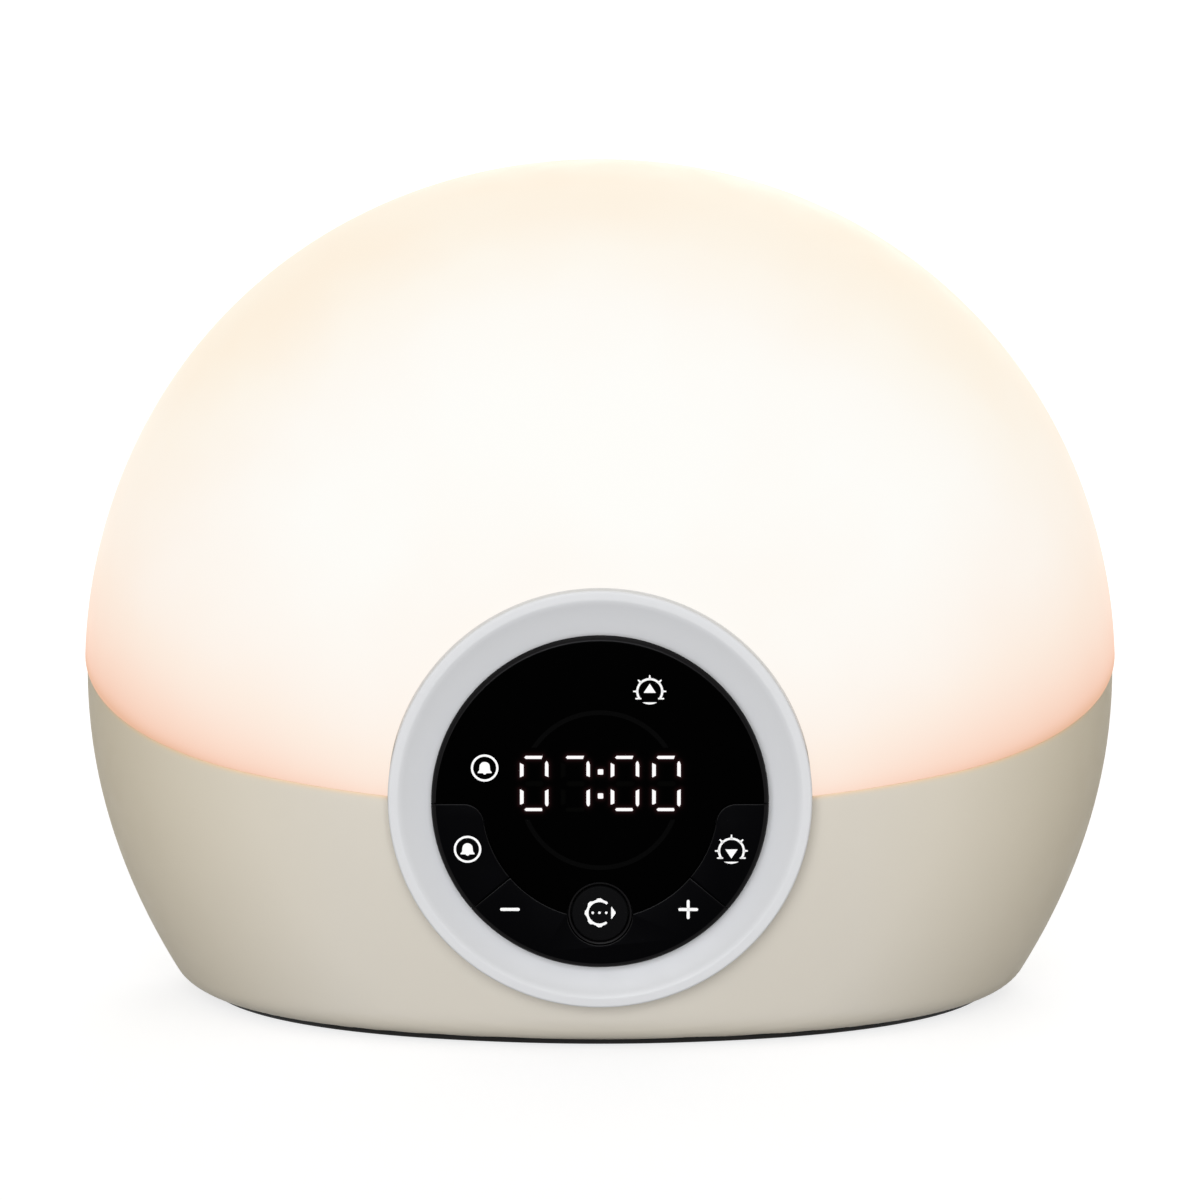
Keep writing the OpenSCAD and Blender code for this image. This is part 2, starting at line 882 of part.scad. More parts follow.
module rocker_key() {
    places = [for (side = [-1, 1]) post_place(side, rocker_post_angle)];
    color("#0b0b0c")
        difference() {
            union() {
                key_cap(180 + key_angle, 360 - key_angle);
                for (p = places) rod_y(p[0], display_h + p[1], cap_back_y - 0.2, post_end_y, post_r - 0.1);
                block(
                    [-rib_w / 2, cap_back_y - 0.2, display_h - rib_drop - rib_l / 2],
                    [rib_w / 2, pin_y() + pin_r + 0.35, display_h - rib_drop + rib_l / 2]
                );
            }
            translate([0, pin_y(), display_h - rib_drop])
                cylinder(r = pin_r + run_gap, h = rib_l * 3, center = true, $fn = 48);
        }
}

module rocker_pin() {
    color("#b9bcc0")
        translate([0, pin_y(), display_h - rib_drop])
            cylinder(r = pin_r, h = pin_l - 0.1, center = true, $fn = 48);
}

module menu_button() {
    color("#101011") {
        rod_y(0, display_h - menu_drop, face_y, cap_back_y, menu_r);
        rod_y(0, display_h - menu_drop, cap_back_y - 0.2, post_end_y, stem_r);
    }
}

// ---- Control board ----

// Centres of the five switches, as [x, height over the display's axis]
function switch_places() = concat(
    [for (side = [-1, 1], a = [outer_post_angle, rocker_post_angle]) post_place(side, a)],
    [[0, -menu_drop]]
);

module control_board() {
    color("#1d5a3a")
        rod_y(0, display_h, board_y, board_back_y, board_r);
}

module switch_bodies() {
    hole_depth = 2.1;
    color("#3a3b3e")
        for (p = switch_places())
            difference() {
                block(
                    [p[0] - switch_w / 2, switch_y, display_h + p[1] - switch_w / 2],
                    [p[0] + switch_w / 2, board_y, display_h + p[1] + switch_w / 2]
                );
                rod_y(p[0], display_h + p[1], switch_y - 1, switch_y + hole_depth, plunger_r + 0.4);
            }
}

module plunger(place) {
    color("#c9c9c9") rod_y(place[0], display_h + place[1], post_end_y, switch_y + 1.1, plunger_r);
}

module alarm_plunger() {
    plunger(post_place(-1, outer_post_angle));
}

module light_plunger() {
    plunger(post_place(1, outer_post_angle));
}

module rocker_plungers() {
    for (side = [-1, 1]) plunger(post_place(side, rocker_post_angle));
}

module menu_plunger() {
    plunger([0, -menu_drop]);
}

module digit_module() {
    color("#0a0a0b") on_face(lens_back_y, board_y) module_window(0);
}

module indicator_leds() {
    color("#e8e4cc")
        for (p = indicator_places()) rod_y(p[0], display_h + p[1], deck_back_y + 1, board_y, pipe_r);
}

module light_pipes() {
    color("#eef3f5")
        for (p = indicator_places()) rod_y(p[0], display_h + p[1], lens_back_y, deck_back_y + 1, pipe_r);
}

// ---- Light source ----

// The reflector divides the body behind the dome and carries the boards
module reflector() {
    edge = wall + fit_gap + lip_wall + 0.3;
    color("#f4f4f1")
        difference() {
            union() {
                intersection() {
                    body_form(wall + fit_gap);
                    block([-far, reflector_y, floor_top], [far, reflector_back_y, far]);
                }
                difference() {
                    intersection() {
                        body_form(edge);
                        block(
                            [-far, reflector_y - reflector_rim, seam_h + lip + 4],
                            [far, reflector_y + 0.2, far]
                        );
                    }
                    body_form(edge + reflector_t);
                }
                for (p = rear_places()) rod_y(p[0], p[1], reflector_back_y - 0.2, rear_joint_y, boss_r);
                for (p = main_places()) rod_y(p[0], p[1], reflector_back_y - 0.2, main_y, 3);
                for (side = [-1, 1])
                    block(
                        [side * tab_x - tab_w / 2, reflector_y - tab_reach, floor_top + floor_boss_h],
                        [side * tab_x + tab_w / 2, reflector_y + 0.2, floor_top + floor_boss_h + tab_t]
                    );
            }
            for (side = [-1, 1])
                rod_z(side * tab_x, tab_screw_y(), floor_top, axis_h, screw_r + screw_slack);
            for (p = rear_places())
                rod_y(p[0], p[1], reflector_y - 1, rear_joint_y + 1, screw_r + screw_gap);
            for (p = main_places())
                rod_y(p[0], p[1], reflector_back_y + 1, main_y + 1, small_r + screw_gap);
            for (p = light_places())
                rod_y(p[0], p[1], reflector_y - 1, reflector_back_y + 1, small_r + screw_gap);
            rod_y(wire_x, wire_h(), reflector_y - 1, reflector_back_y + 1, 4);
            block(
                [ribbon_x - ribbon_w / 2 - 1, reflector_y - 1, 0],
                [ribbon_x + ribbon_w / 2 + 1, reflector_back_y + 1, floor_top + 4]
            );
        }
}

module heat_spreader() {
    color("#b7bcc2")
        difference() {
            block(
                [-light_w / 2, reflector_y - spreader_t, light_h_mid - light_h / 2],
                [light_w / 2, reflector_y, light_h_mid + light_h / 2]
            );
            for (p = light_places())
                rod_y(p[0], p[1], reflector_y - 9, reflector_y + 1, small_r + screw_slack);
            rod_y(wire_x, wire_h(), reflector_y - 9, reflector_y + 1, 4);
        }
}

function light_places() = [
    for (side = [-1, 1], up = [-1, 1]) [side * (light_w / 2 - 4), light_h_mid + up * (light_h / 2 - 4)]
];

module light_board() {
    color("#f1efe6")
        difference() {
            block(
                [-light_w / 2, light_board_y, light_h_mid - light_h / 2],
                [light_w / 2, light_board_y + board_t, light_h_mid + light_h / 2]
            );
            for (p = light_places())
                rod_y(p[0], p[1], reflector_y - 9, reflector_y + 1, small_r + screw_slack);
        }
}

module light_leds() {
    pitch_x = (light_w - 18) / (led_columns - 1);
    pitch_z = (light_h - 18) / (led_rows - 1);
    color("#ffe9b8")
        for (i = [0:led_columns - 1], j = [0:led_rows - 1]) {
            x = -light_w / 2 + 9 + i * pitch_x;
            z = light_h_mid - light_h / 2 + 9 + j * pitch_z;
            block(
                [x - led_w / 2, light_board_y - led_h, z - led_w / 2],
                [x + led_w / 2, light_board_y, z + led_w / 2]
            );
        }
}

module light_screws() {
    color("#a4a7ab")
        for (p = light_places()) {
            rod_y(p[0], p[1], light_board_y - 0.1, reflector_back_y + 1, small_r);
            rod_y(p[0], p[1], light_board_y - 1.2, light_board_y, small_r * 1.9);
        }
}

// ---- Main electronics ----

function main_places() = [
    for (side = [-1, 1], up = [-1, 1]) [side * (main_w / 2 - 4), main_h_mid + up * (main_h / 2 - 4)]
];

wire_x = 0;
function wire_h() = light_h_mid - light_h / 2 + wire_edge;

module main_board() {
    color("#1f6a3c")
        difference() {
            block(
                [-main_w / 2, main_y, main_h_mid - main_h / 2],
                [main_w / 2, main_back_y, main_h_mid + main_h / 2]
            );
            for (p = main_places()) rod_y(p[0], p[1], main_y - 1, main_back_y + 1, small_r + screw_slack);
        }
}

module board_screws() {
    color("#a4a7ab")
        for (p = main_places()) small_screw(p[0], p[1], main_back_y, board_t + 6);
}

// A part on the back of the main board. x, z, w and h are shares of the board's width and
// height, from its centre, and depth is a share of the space in front of the board.
module soldered(x, z, w, h, depth) {
    block(
        [x * main_w, main_back_y, main_h_mid + z * main_h],
        [(x + w) * main_w, main_back_y + depth * main_gap, main_h_mid + (z + h) * main_h]
    );
}

// Capacitors, chips and plugs soldered to the back of the main board
module board_components() {
    capacitor_r = 0.07 * main_h;
    color("#26282b") {
        for (i = [0:2])
            rod_y(
                (0.107 * i - 0.357) * main_w, main_h_mid + 0.3 * main_h,
                main_back_y, main_back_y + 0.9 * main_gap, capacitor_r
            );
        soldered(-0.143, -0.174, 0.143, 0.26, 0.145);
        soldered(-0.38, -0.26, 0.095, 0.13, 0.127);
        soldered(0.083, 0.087, 0.119, 0.217, 0.455);
        soldered(-0.238, -0.087, 0.06, 0.217, 0.318);
        block(
            [-plug_w / 2, main_back_y, main_h_mid + plug_rise - 3],
            [plug_w / 2, main_back_y + plug_t, main_h_mid + plug_rise + 3]
        );
        block(
            [ribbon_x - ribbon_w / 2 - 2, main_back_y, main_h_mid - main_h / 2 + 1],
            [ribbon_x + ribbon_w / 2 + 2, main_back_y + 4, main_h_mid - main_h / 2 + 6]
        );
    }
}

// Mouth of the power inlet, just inside the rear wall
function jack_mouth_y() = back_y(jack_x + jack_w / 2, jack_h - jack_w / 2, wall) - fit_gap;

module power_inlet() {
    pin_back = jack_mouth_y() - jack_bore_depth;
    color("#161617")
        union() {
            difference() {
                block(
                    [jack_x - jack_w / 2, main_back_y, jack_h - jack_w / 2],
                    [jack_x + jack_w / 2, jack_mouth_y(), jack_h + jack_w / 2]
                );
                rod_y(jack_x, jack_h, pin_back, far, jack_bore_r);
            }
            rod_y(jack_x, jack_h, pin_back - 0.5, jack_mouth_y() - 0.5, jack_pin_r);
        }
}

module speaker_frame() {
    color("#2c2d30")
        difference() {
            union() {
                rod_y(0, speaker_h, speaker_y(), speaker_y() + speaker_rim_t, speaker_r);
                rod_y(0, speaker_h, speaker_y() - basket_t, speaker_y() + 0.1, speaker_r - 4);
            }
            rod_y(0, speaker_h, speaker_y() + 0.8, speaker_y() + speaker_rim_t + 1, speaker_r - 3);
        }
}

module speaker_magnet() {
    color("#8b8e93")
        rod_y(0, speaker_h, speaker_y() - basket_t - magnet_t, speaker_y() - basket_t, magnet_r);
}

// ---- Wiring ----

ribbon_top = display_h - 12;

// Flat ribbon from the control board, under the reflector, to the main board
module display_ribbon() {
    front = cover_y + cover_t + 2;
    low = floor_top + 1.5;
    back = main_back_y + 4 + 1;
    top = main_h_mid - main_h / 2 + 3;
    t = ribbon_t;
    color("#d8d4cc")
        translate([ribbon_x - ribbon_w / 2, 0, 0])
            rotate([90, 0, 90])
                linear_extrude(ribbon_w)
                    polygon([
                        [board_back_y, ribbon_top], [front + t, ribbon_top], [front + t, low + t],
                        [back, low + t], [back, top], [back - 1, top], [back - 1, top + t],
                        [back + t, top + t], [back + t, low], [front, low], [front, ribbon_top - t],
                        [board_back_y, ribbon_top - t]
                    ]);
}

// A wire along Y and then along Z, with a ball at the bend
module bent_wire(x, y1, z1, y2, z2) {
    rod_y(x, z1, min(y1, y2), max(y1, y2), wire_r);
    translate([x, y2, z1]) sphere(r = wire_r * 1.2, $fn = 32);
    translate([x, y2, min(z1, z2)]) cylinder(r = wire_r, h = abs(z2 - z1), $fn = 32);
}

// Two wires through the reflector from the light board down to the main board
module light_wires() {
    plug_h = main_h_mid + main_h / 2 - 4;
    turn_y = main_y - 4;
    color("#b03a30")
        for (side = [-1, 1]) {
            x = wire_x + side * 1.5;
            bent_wire(x, light_board_y + board_t, wire_h(), turn_y, plug_h);
            bent_wire(x, main_y, plug_h, turn_y, plug_h + 2);
        }
}

// Two wires from the speaker down to the main board's connector
module speaker_wires() {
    turn_y = speaker_y() - basket_t - 1;
    top = speaker_h - magnet_r - 1.5;
    color("#3a3a3d")
        for (side = [-1, 1])
            bent_wire(side * 1.5, main_back_y + plug_t, main_h_mid + plug_rise, turn_y, top);
}

// ---- Case screws ----

module rear_screws() {
    color("#8d9094")
        for (p = rear_places()) {
            rod_y(p[0], p[1], reflector_y + 0.5, rear_seat_y, screw_r);
            rod_y(p[0], p[1], rear_seat_y, rear_seat_y + head_t, head_r);
        }
}

module reflector_screws() {
    seat = floor_top + floor_boss_h + tab_t;
    color("#8d9094")
        for (side = [-1, 1]) {
            rod_z(side * tab_x, tab_screw_y(), floor_top + 1, seat, screw_r);
            rod_z(side * tab_x, tab_screw_y(), seat, seat + head_t, head_r);
        }
}

diffuser();
base_shell();
rear_housing();
bottom_plate();
feet();
bezel_ring();
display_drum();
display_lens();
display_back_cover();
alarm_key();
light_key();
rocker_key();
rocker_pin();
menu_button();
control_board();
switch_bodies();
alarm_plunger();
light_plunger();
rocker_plungers();
menu_plunger();
digit_module();
indicator_leds();
light_pipes();
ring_screws();
cover_screws();
reflector();
heat_spreader();
light_board();
light_leds();
light_screws();
main_board();
board_components();
board_screws();
power_inlet();
speaker_frame();
speaker_magnet();
display_ribbon();
light_wires();
speaker_wires();
rear_screws();
reflector_screws();
bottom_screws();
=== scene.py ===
"""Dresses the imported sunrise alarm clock: shells, ring, display, keys, symbols, finishes, stage and camera.

Lengths are in metres. The front faces -Y, +X is on the right of a person who looks at the display, and the
clock stands on Z = 0. Smooth pieces replace the faceted CAD nodes that show; the hidden nodes stay, with
finishes of their own."""

import bmesh
import bpy
import math
import numpy as np
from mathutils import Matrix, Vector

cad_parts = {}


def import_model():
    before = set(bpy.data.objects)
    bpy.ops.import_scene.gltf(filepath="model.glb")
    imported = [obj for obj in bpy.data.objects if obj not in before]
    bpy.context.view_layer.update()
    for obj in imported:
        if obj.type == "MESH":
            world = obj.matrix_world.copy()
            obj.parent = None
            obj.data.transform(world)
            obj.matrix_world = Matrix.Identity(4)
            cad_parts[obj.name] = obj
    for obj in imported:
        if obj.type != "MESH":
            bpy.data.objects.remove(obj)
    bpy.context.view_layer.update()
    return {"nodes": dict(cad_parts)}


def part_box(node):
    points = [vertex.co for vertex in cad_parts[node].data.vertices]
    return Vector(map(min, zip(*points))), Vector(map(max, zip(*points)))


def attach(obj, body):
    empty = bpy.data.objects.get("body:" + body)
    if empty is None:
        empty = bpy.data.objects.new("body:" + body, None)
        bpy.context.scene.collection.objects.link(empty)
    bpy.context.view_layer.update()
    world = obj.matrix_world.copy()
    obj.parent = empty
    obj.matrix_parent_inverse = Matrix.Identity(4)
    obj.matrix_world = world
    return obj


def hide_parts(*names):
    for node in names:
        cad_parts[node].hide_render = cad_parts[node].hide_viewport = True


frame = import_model()

MM = 0.001

# ---- Sizes of the body, as in the CAD source ----
BODY_R = 105 * MM
AXIS_H = 65 * MM
FRONT_DEPTH, BACK_DEPTH = 64 * MM, 45.5 * MM
FRONT_SHOULDER, BACK_SHOULDER = 55 * MM, 34 * MM
WALL = 2.5 * MM
SHELL_STEP = 0.5 * MM
SEAM_H = 71.2 * MM
SEAM_TILT = math.radians(18.9)
SPLIT_BACK = 14 * MM
SHELL_BOTTOM = 1.4 * MM
FLOOR_TOP = 4 * MM
FOOT_EDGE, FLOOR_EDGE = 4 * MM, 1.5 * MM
# The lower half is slightly fuller than a circle, its front fuller again, and so are the flanks of the upper
# half, by these shares
FULLNESS, CHIN, FLANK = 0.04, 0.06, 0.008
CHIN_WIDTH = 48 * MM

# The seam rises from its plane by this much, most at this distance to each side and less over this width. The
# shells above and below it follow, less over the last length
SEAM_RISE, SEAM_RISE_X, SEAM_RISE_WIDTH, SEAM_FADE = 0.7 * MM, 86 * MM, 26 * MM, 14 * MM

# ---- Sizes of the display ----
DISPLAY_H = 51.2 * MM
RING_R = 40.8 * MM
RING_LIP = 2.2 * MM
RING_WALL = 1.6 * MM
DISH = 1.8 * MM
DRUM_R = 32.4 * MM
DRUM_NECK_R = 31.7 * MM
RING_PROUD = 0.5 * MM
RIM_BEVEL = 1.15 * MM
KEY_R = 22.4 * MM
KEY_ANGLE = math.radians(40)
KEY_GAP = 0.2 * MM
KEY_CORNER = 4 * MM
MENU_DROP = 21.6 * MM
MENU_R = 5.4 * MM
MENU_GAP = 0.2 * MM
COLLAR_R = 6.1 * MM
FIT_GAP = 0.15 * MM
DIGIT_RISE = 3.8 * MM

# ---- Places along Y and Z, from the frame ----
FACE_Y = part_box("display_lens")[0].y
LENS_BACK_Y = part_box("display_lens")[1].y
CAP_BACK_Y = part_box("alarm_key")[0].y + 1.9 * MM
LIP_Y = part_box("bezel_ring")[0].y
FLANGE_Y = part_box("bezel_ring")[1].y
COVER_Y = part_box("display_drum")[1].y
DECK_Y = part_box("display_drum")[0].y + 3 * MM
WIDE_Y = LIP_Y + FRONT_DEPTH + RING_PROUD
SPLIT_Y = WIDE_Y + SPLIT_BACK
POST_END_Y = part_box("alarm_key")[1].y
PLATE_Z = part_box("bottom_plate")[0].z
PLATE_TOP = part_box("bottom_plate")[1].z

# The visible faces lie this far behind the CAD's face, so that their printed marks end flush with it. The print
# reaches a little deeper
MARK_T = 0.03 * MM
PRINT_T = 1.5 * MARK_T
# Radii of the shells' edges and of the small edges of the lens and the keys
EDGE_R, KEY_EDGE = 0.35 * MM, 0.14 * MM


# ---- Forms ----

# Corners of a square about its middle
SQUARE = ((-1, -1), (1, -1), (1, 1), (-1, 1))


def arc(centre, radius, start, end, steps):
    """Points on an arc, its ends included; angles in degrees."""
    turns = np.radians(np.linspace(start, end, steps + 1))
    return [(centre[0] + radius * math.cos(a), centre[1] + radius * math.sin(a)) for a in turns]


def filleted(corners, steps=5):
    """Turns an open outline of (u, v, radius) corners into points, with an arc at each corner that has a radius."""
    points = []
    for i, (u, v, radius) in enumerate(corners):
        if not radius:
            points.append((u, v))
            continue
        here = np.array((u, v))
        before = np.array(corners[i - 1][:2]) - here
        after = np.array(corners[(i + 1) % len(corners)][:2]) - here
        before, after = before / np.linalg.norm(before), after / np.linalg.norm(after)
        half = math.acos(np.clip(before @ after, -1, 1)) / 2
        middle = here + (before + after) / np.linalg.norm(before + after) * radius / math.sin(half)
        first = here + before * radius / math.tan(half) - middle
        last = here + after * radius / math.tan(half) - middle
        for t in np.linspace(0, 1, steps + 1):
            way = first * (1 - t) + last * t
            points.append(tuple(middle + way / np.linalg.norm(way) * radius))
    return points


class Form:
    """Points and faces of one piece, gathered from several closed forms."""

    def __init__(self):
        self.points, self.faces = [], []

    def grid(self, rows, ring=False):
        """Joins rows that have as many points each. With ring, a row's last point meets its first."""
        rows = np.asarray(rows, float)
        start, (count, width) = len(self.points), rows.shape[:2]
        self.points += rows.reshape(-1, 3).tolist()
        for r in range(count - 1):
            for c in range(width if ring else width - 1):
                a, b = start + r * width + c, start + r * width + (c + 1) % width
                self.faces.append((a, b, b + width, a + width))
        return self

    def cap(self, row):
        start = len(self.points)
        self.points += [tuple(p) for p in row]
        self.faces.append(tuple(range(start, len(self.points))))
        return self

    def loft(self, rows):
        """A closed form through loops of points, with a face over its first and its last loop."""
        self.grid(rows, ring=True)
        return self.cap(rows[0]).cap(rows[-1])

    def lathe(self, outline, centre, axis="Y", steps=128, tube=False):
        """Spins an outline of (radius, place) points about a line along Y or Z through centre.
        With tube, the outline is a loop that doesn't touch the line."""
        turns = np.linspace(0, 2 * math.pi, steps, endpoint=False)
        rows = []
        for radius, place in list(outline) + ([outline[0]] if tube else []):
            u, v, w = centre[0] + radius * np.cos(turns), radius * np.sin(turns), np.full(steps, place)
            rows.append(np.stack([u, w, centre[1] + v] if axis == "Y" else [u, centre[1] + v, w], axis=1))
        return self.grid(rows, ring=True)

    def rod(self, centre, start, end, radius, axis="Y", steps=48):
        return self.lathe([(0, start), (radius, start), (radius, end), (0, end)], centre, axis, steps)

    def slab(self, outline, y1, y2):
        """A flat outline of (x, height) points about the display's axis, from y1 back to y2."""
        return self.loft([[(x, y, DISPLAY_H + h) for x, h in outline] for y in (y1, y2)])

    def object(self, name, sharp=32):
        """A mesh object with its faces turned outwards, smooth apart from edges over an angle in degrees."""
        mesh = bpy.data.meshes.new(name)
        mesh.from_pydata(self.points, [], self.faces)
        smooth(mesh, sharp)
        return add_object(name, mesh)


def add_object(name, data):
    made = bpy.data.objects.new(name, data)
    bpy.context.scene.collection.objects.link(made)
    return made


def smooth(mesh, sharp=32, turn=True):
    """Merges double points, turns the faces outwards and makes all but the edges over an angle smooth."""
    shape = bmesh.new()
    shape.from_mesh(mesh)
    bmesh.ops.remove_doubles(shape, verts=shape.verts, dist=1e-6)
    bmesh.ops.dissolve_degenerate(shape, edges=shape.edges, dist=1e-7)
    if turn:
        bmesh.ops.recalc_face_normals(shape, faces=shape.faces)
    for face in shape.faces:
        face.smooth = True
    for edge in shape.edges:
        edge.smooth = edge.calc_face_angle(0) < math.radians(sharp)
    shape.to_mesh(mesh)
    shape.free()


def carve(thing, form, operation="DIFFERENCE"):
    """Cuts a form out of an object, or adds it, and keeps the result as the object's mesh."""
    tool = form.object("carving_tool")
    modifier = thing.modifiers.new("carve", "BOOLEAN")
    modifier.object, modifier.operation, modifier.solver = tool, operation, "EXACT"
    bpy.context.view_layer.update()
    done = bpy.data.meshes.new_from_object(thing.evaluated_get(bpy.context.evaluated_depsgraph_get()))
    thing.modifiers.clear()
    thing.data = done
    if not done.polygons:
        raise RuntimeError(f"carving {thing.name} left nothing")
    smooth(done, turn=False)
    bpy.data.objects.remove(tool)


def finish_piece(thing, finish, body, slot, *nodes):
    """Gives an object its finish, its CAD body and the CAD nodes that it stands for. slot is not used."""
    thing.data.materials.clear()
    thing.data.materials.append(finish.material)
    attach(thing, body)
    if nodes:
        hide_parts(*nodes)
    return thing


# ---- Shape of the body ----

def crown_back(depth, shoulder):
    """Distance from the widest circle to the centre of the crown's arc."""
    across, along = BODY_R - shoulder, depth - shoulder
    return (across ** 2 - along ** 2) / (2 * along)


def body_distance(points, inset):
    """Distance of points to the body's surface moved in by an inset, negative inside."""
    height = points[..., 2] - AXIS_H
    low = np.clip(-height / AXIS_H, 0, 1) ** 2
    rho = np.hypot(points[..., 0], height / (1 + FULLNESS * low))
    flank = 2 * points[..., 0] * np.maximum(height, 0) / np.maximum(rho, MM) ** 2
    rho = rho / (1 + FLANK * flank ** 2)
    along = points[..., 1] - WIDE_Y
    chin = CHIN * low * np.exp(-(points[..., 0] / CHIN_WIDTH) ** 2)
    along = np.where(along < 0, along * (1 - chin), along)
    depth = np.where(along < 0, FRONT_DEPTH, BACK_DEPTH)
    shoulder = np.where(along < 0, FRONT_SHOULDER, BACK_SHOULDER)
    back = crown_back(depth, shoulder)
    turn = np.arctan2(BODY_R - shoulder, back)
    along = np.abs(along)
    crown = np.hypot(rho, along + back) - depth - back
    side = np.hypot(rho - BODY_R + shoulder, along) - shoulder
    return np.where(rho * np.cos(turn) < (along + back) * np.sin(turn), crown, side) + inset


def shell_distance(points, inset, bottom, edge):
    """Distance to the body's surface, cut flat at a height with a round edge."""
    side = body_distance(points, inset)
    under = bottom - points[..., 2]
    corner = np.hypot(side + edge, under + edge) - edge
    return np.where((side > -edge) & (under > -edge), corner, np.maximum(side, under))


def base_outside(points, extra=0.0):
    return shell_distance(points, SHELL_STEP + extra, SHELL_BOTTOM, FOOT_EDGE)


def base_inside(points):
    return shell_distance(points, WALL, FLOOR_TOP, FLOOR_EDGE)


# Halvings that bring a ray's end well below a micrometre
HALVINGS = 36


def hit(origin, ways, distance):
    """Where rays from inside leave a surface, found by halving."""
    near = np.zeros(ways.shape[:-1])
    far = np.full_like(near, 3 * BODY_R)
    for _ in range(HALVINGS):
        middle = (near + far) / 2
        inside = distance(origin + middle[..., None] * ways) < 0
        near, far = np.where(inside, middle, near), np.where(inside, far, middle)
    return origin + near[..., None] * ways


def back_surface(x, z, inset=0.0):
    """Y of the back's surface over a point, or over many."""
    x, z = np.asarray(x, float), np.asarray(z, float)
    origin = np.stack([x, np.full_like(x, WIDE_Y), z], axis=-1)
    way = np.zeros_like(origin) + (0.0, 1.0, 0.0)
    return hit(origin, way, lambda p: body_distance(p, inset))[..., 1]


def lune(high, outer, inner, seam_normal):
    """Rows of a shell that fills the angle from the seam to the rear joint about the line where they meet, its
    outer rows first. high is the joint's elevation in degrees, and seam_normal points from the seam into the
    shell."""
    low = -math.degrees(SEAM_TILT)
    hinge = np.array([0.0, SPLIT_Y, SEAM_H + SPLIT_BACK * math.tan(SEAM_TILT)])
    across = np.radians(np.linspace(0, 180, 241))
    first_step, step = 2.0, 1.2
    # The edges grow sharp where the rows run together at the ends of that line
    fade = 80 * MM * math.sin(math.radians(first_step))
    edge = np.minimum(EDGE_R, fade * np.sin(across))

    def ways(elevation):
        e = math.radians(elevation)
        return np.stack([np.cos(across), -np.sin(across) * math.cos(e), np.sin(across) * math.sin(e)], axis=1)

    def edge_row(elevation, normal, turn):
        lift = edge * (1 - math.sin(turn))
        inset = edge * (1 - math.cos(turn))
        origin = hinge + lift[:, None] * np.array(normal)
        return hit(origin, ways(elevation), lambda p: outer(p, inset))

    count = int(abs(high - low) / step)
    inward = first_step if high > low else -first_step
    turns = np.linspace(math.pi / 2, 0, 6)
    rows = [edge_row(low, seam_normal, t) for t in turns]
    rows += [hit(hinge, ways(e), lambda p: outer(p, 0.0)) for e in np.linspace(low + inward, high - inward, count)]
    rows += [edge_row(high, FORWARD, t) for t in turns[::-1]]
    rows += [hit(hinge, ways(e), inner) for e in np.linspace(high, low, count // 3)]
    return rows + [rows[0]]


def ring_hole(gap):
    return Form().rod((0, DISPLAY_H), FACE_Y, WIDE_Y, RING_R + gap, steps=256)


def raise_seam(rows):
    """Lifts the shell near its seam, so that the seam follows its slight curve."""
    points = np.array(rows)
    above = points[..., 2] - SEAM_H - (points[..., 1] - WIDE_Y) * math.tan(SEAM_TILT)
    rise = SEAM_RISE * np.exp(-((np.abs(points[..., 0]) - SEAM_RISE_X) / SEAM_RISE_WIDTH) ** 2)
    points[..., 2] += rise * np.exp(-(above / SEAM_FADE) ** 2)
    return points


SEAM_UP = (0.0, -math.sin(SEAM_TILT), math.cos(SEAM_TILT))
SEAM_DOWN = (0.0, math.sin(SEAM_TILT), -math.cos(SEAM_TILT))
FORWARD = (0.0, -1.0, 0.0)


def dome(finish):
    """The lit opal shell above the seam."""
    rows = lune(90, body_distance, lambda p: body_distance(p, WALL), SEAM_UP)
    made = Form().grid(raise_seam(rows)).object("dome")
    carve(made, ring_hole(FIT_GAP))
    finish_piece(made, finish, "housing", "opal_dome", "diffuser")


def plate_loop(z, inset):
    """The body's outline at a height, moved in by an inset."""
    turns = np.linspace(0, 2 * math.pi, 180, endpoint=False)
    ways = np.stack([np.cos(turns), np.sin(turns), np.zeros_like(turns)], axis=1)
    return hit(np.array([0.0, WIDE_Y, z]), ways, lambda p: body_distance(p, inset))


PLATE_INSET = 3.6 * MM


def plate_recess():
    """The room under the shells for the plate, with straight walls."""
    top = plate_loop(PLATE_TOP, PLATE_INSET - FIT_GAP)
    return Form().loft([top * (1, 1, 0) + (0, 0, 0.1 * MM), top])


def base_cover(finish):
    """The beige shell below the seam, in front of the rear joint."""
    rows = lune(-90, base_outside, base_inside, SEAM_DOWN)
    made = Form().grid(raise_seam(rows)).object("base_cover")
    carve(made, ring_hole(1.7 * FIT_GAP))
    carve(made, plate_recess())
    finish_piece(made, finish, "housing", "beige_shell", "base_shell")


# ---- Back ----
REAR_SCREWS = [(side * 60 * MM, AXIS_H + rise * MM) for side in (-1, 1) for rise in (-34, 56)]
HEAD_R, HEAD_T, UNDER_HEAD_T, HEAD_GAP = 2.7 * MM, 1.6 * MM, 0.7 * MM, 0.3 * MM
SCREW_R, SCREW_HOLE_R, UNDER_HOLE_R = 1.4 * MM, 1.45 * MM, 1.6 * MM
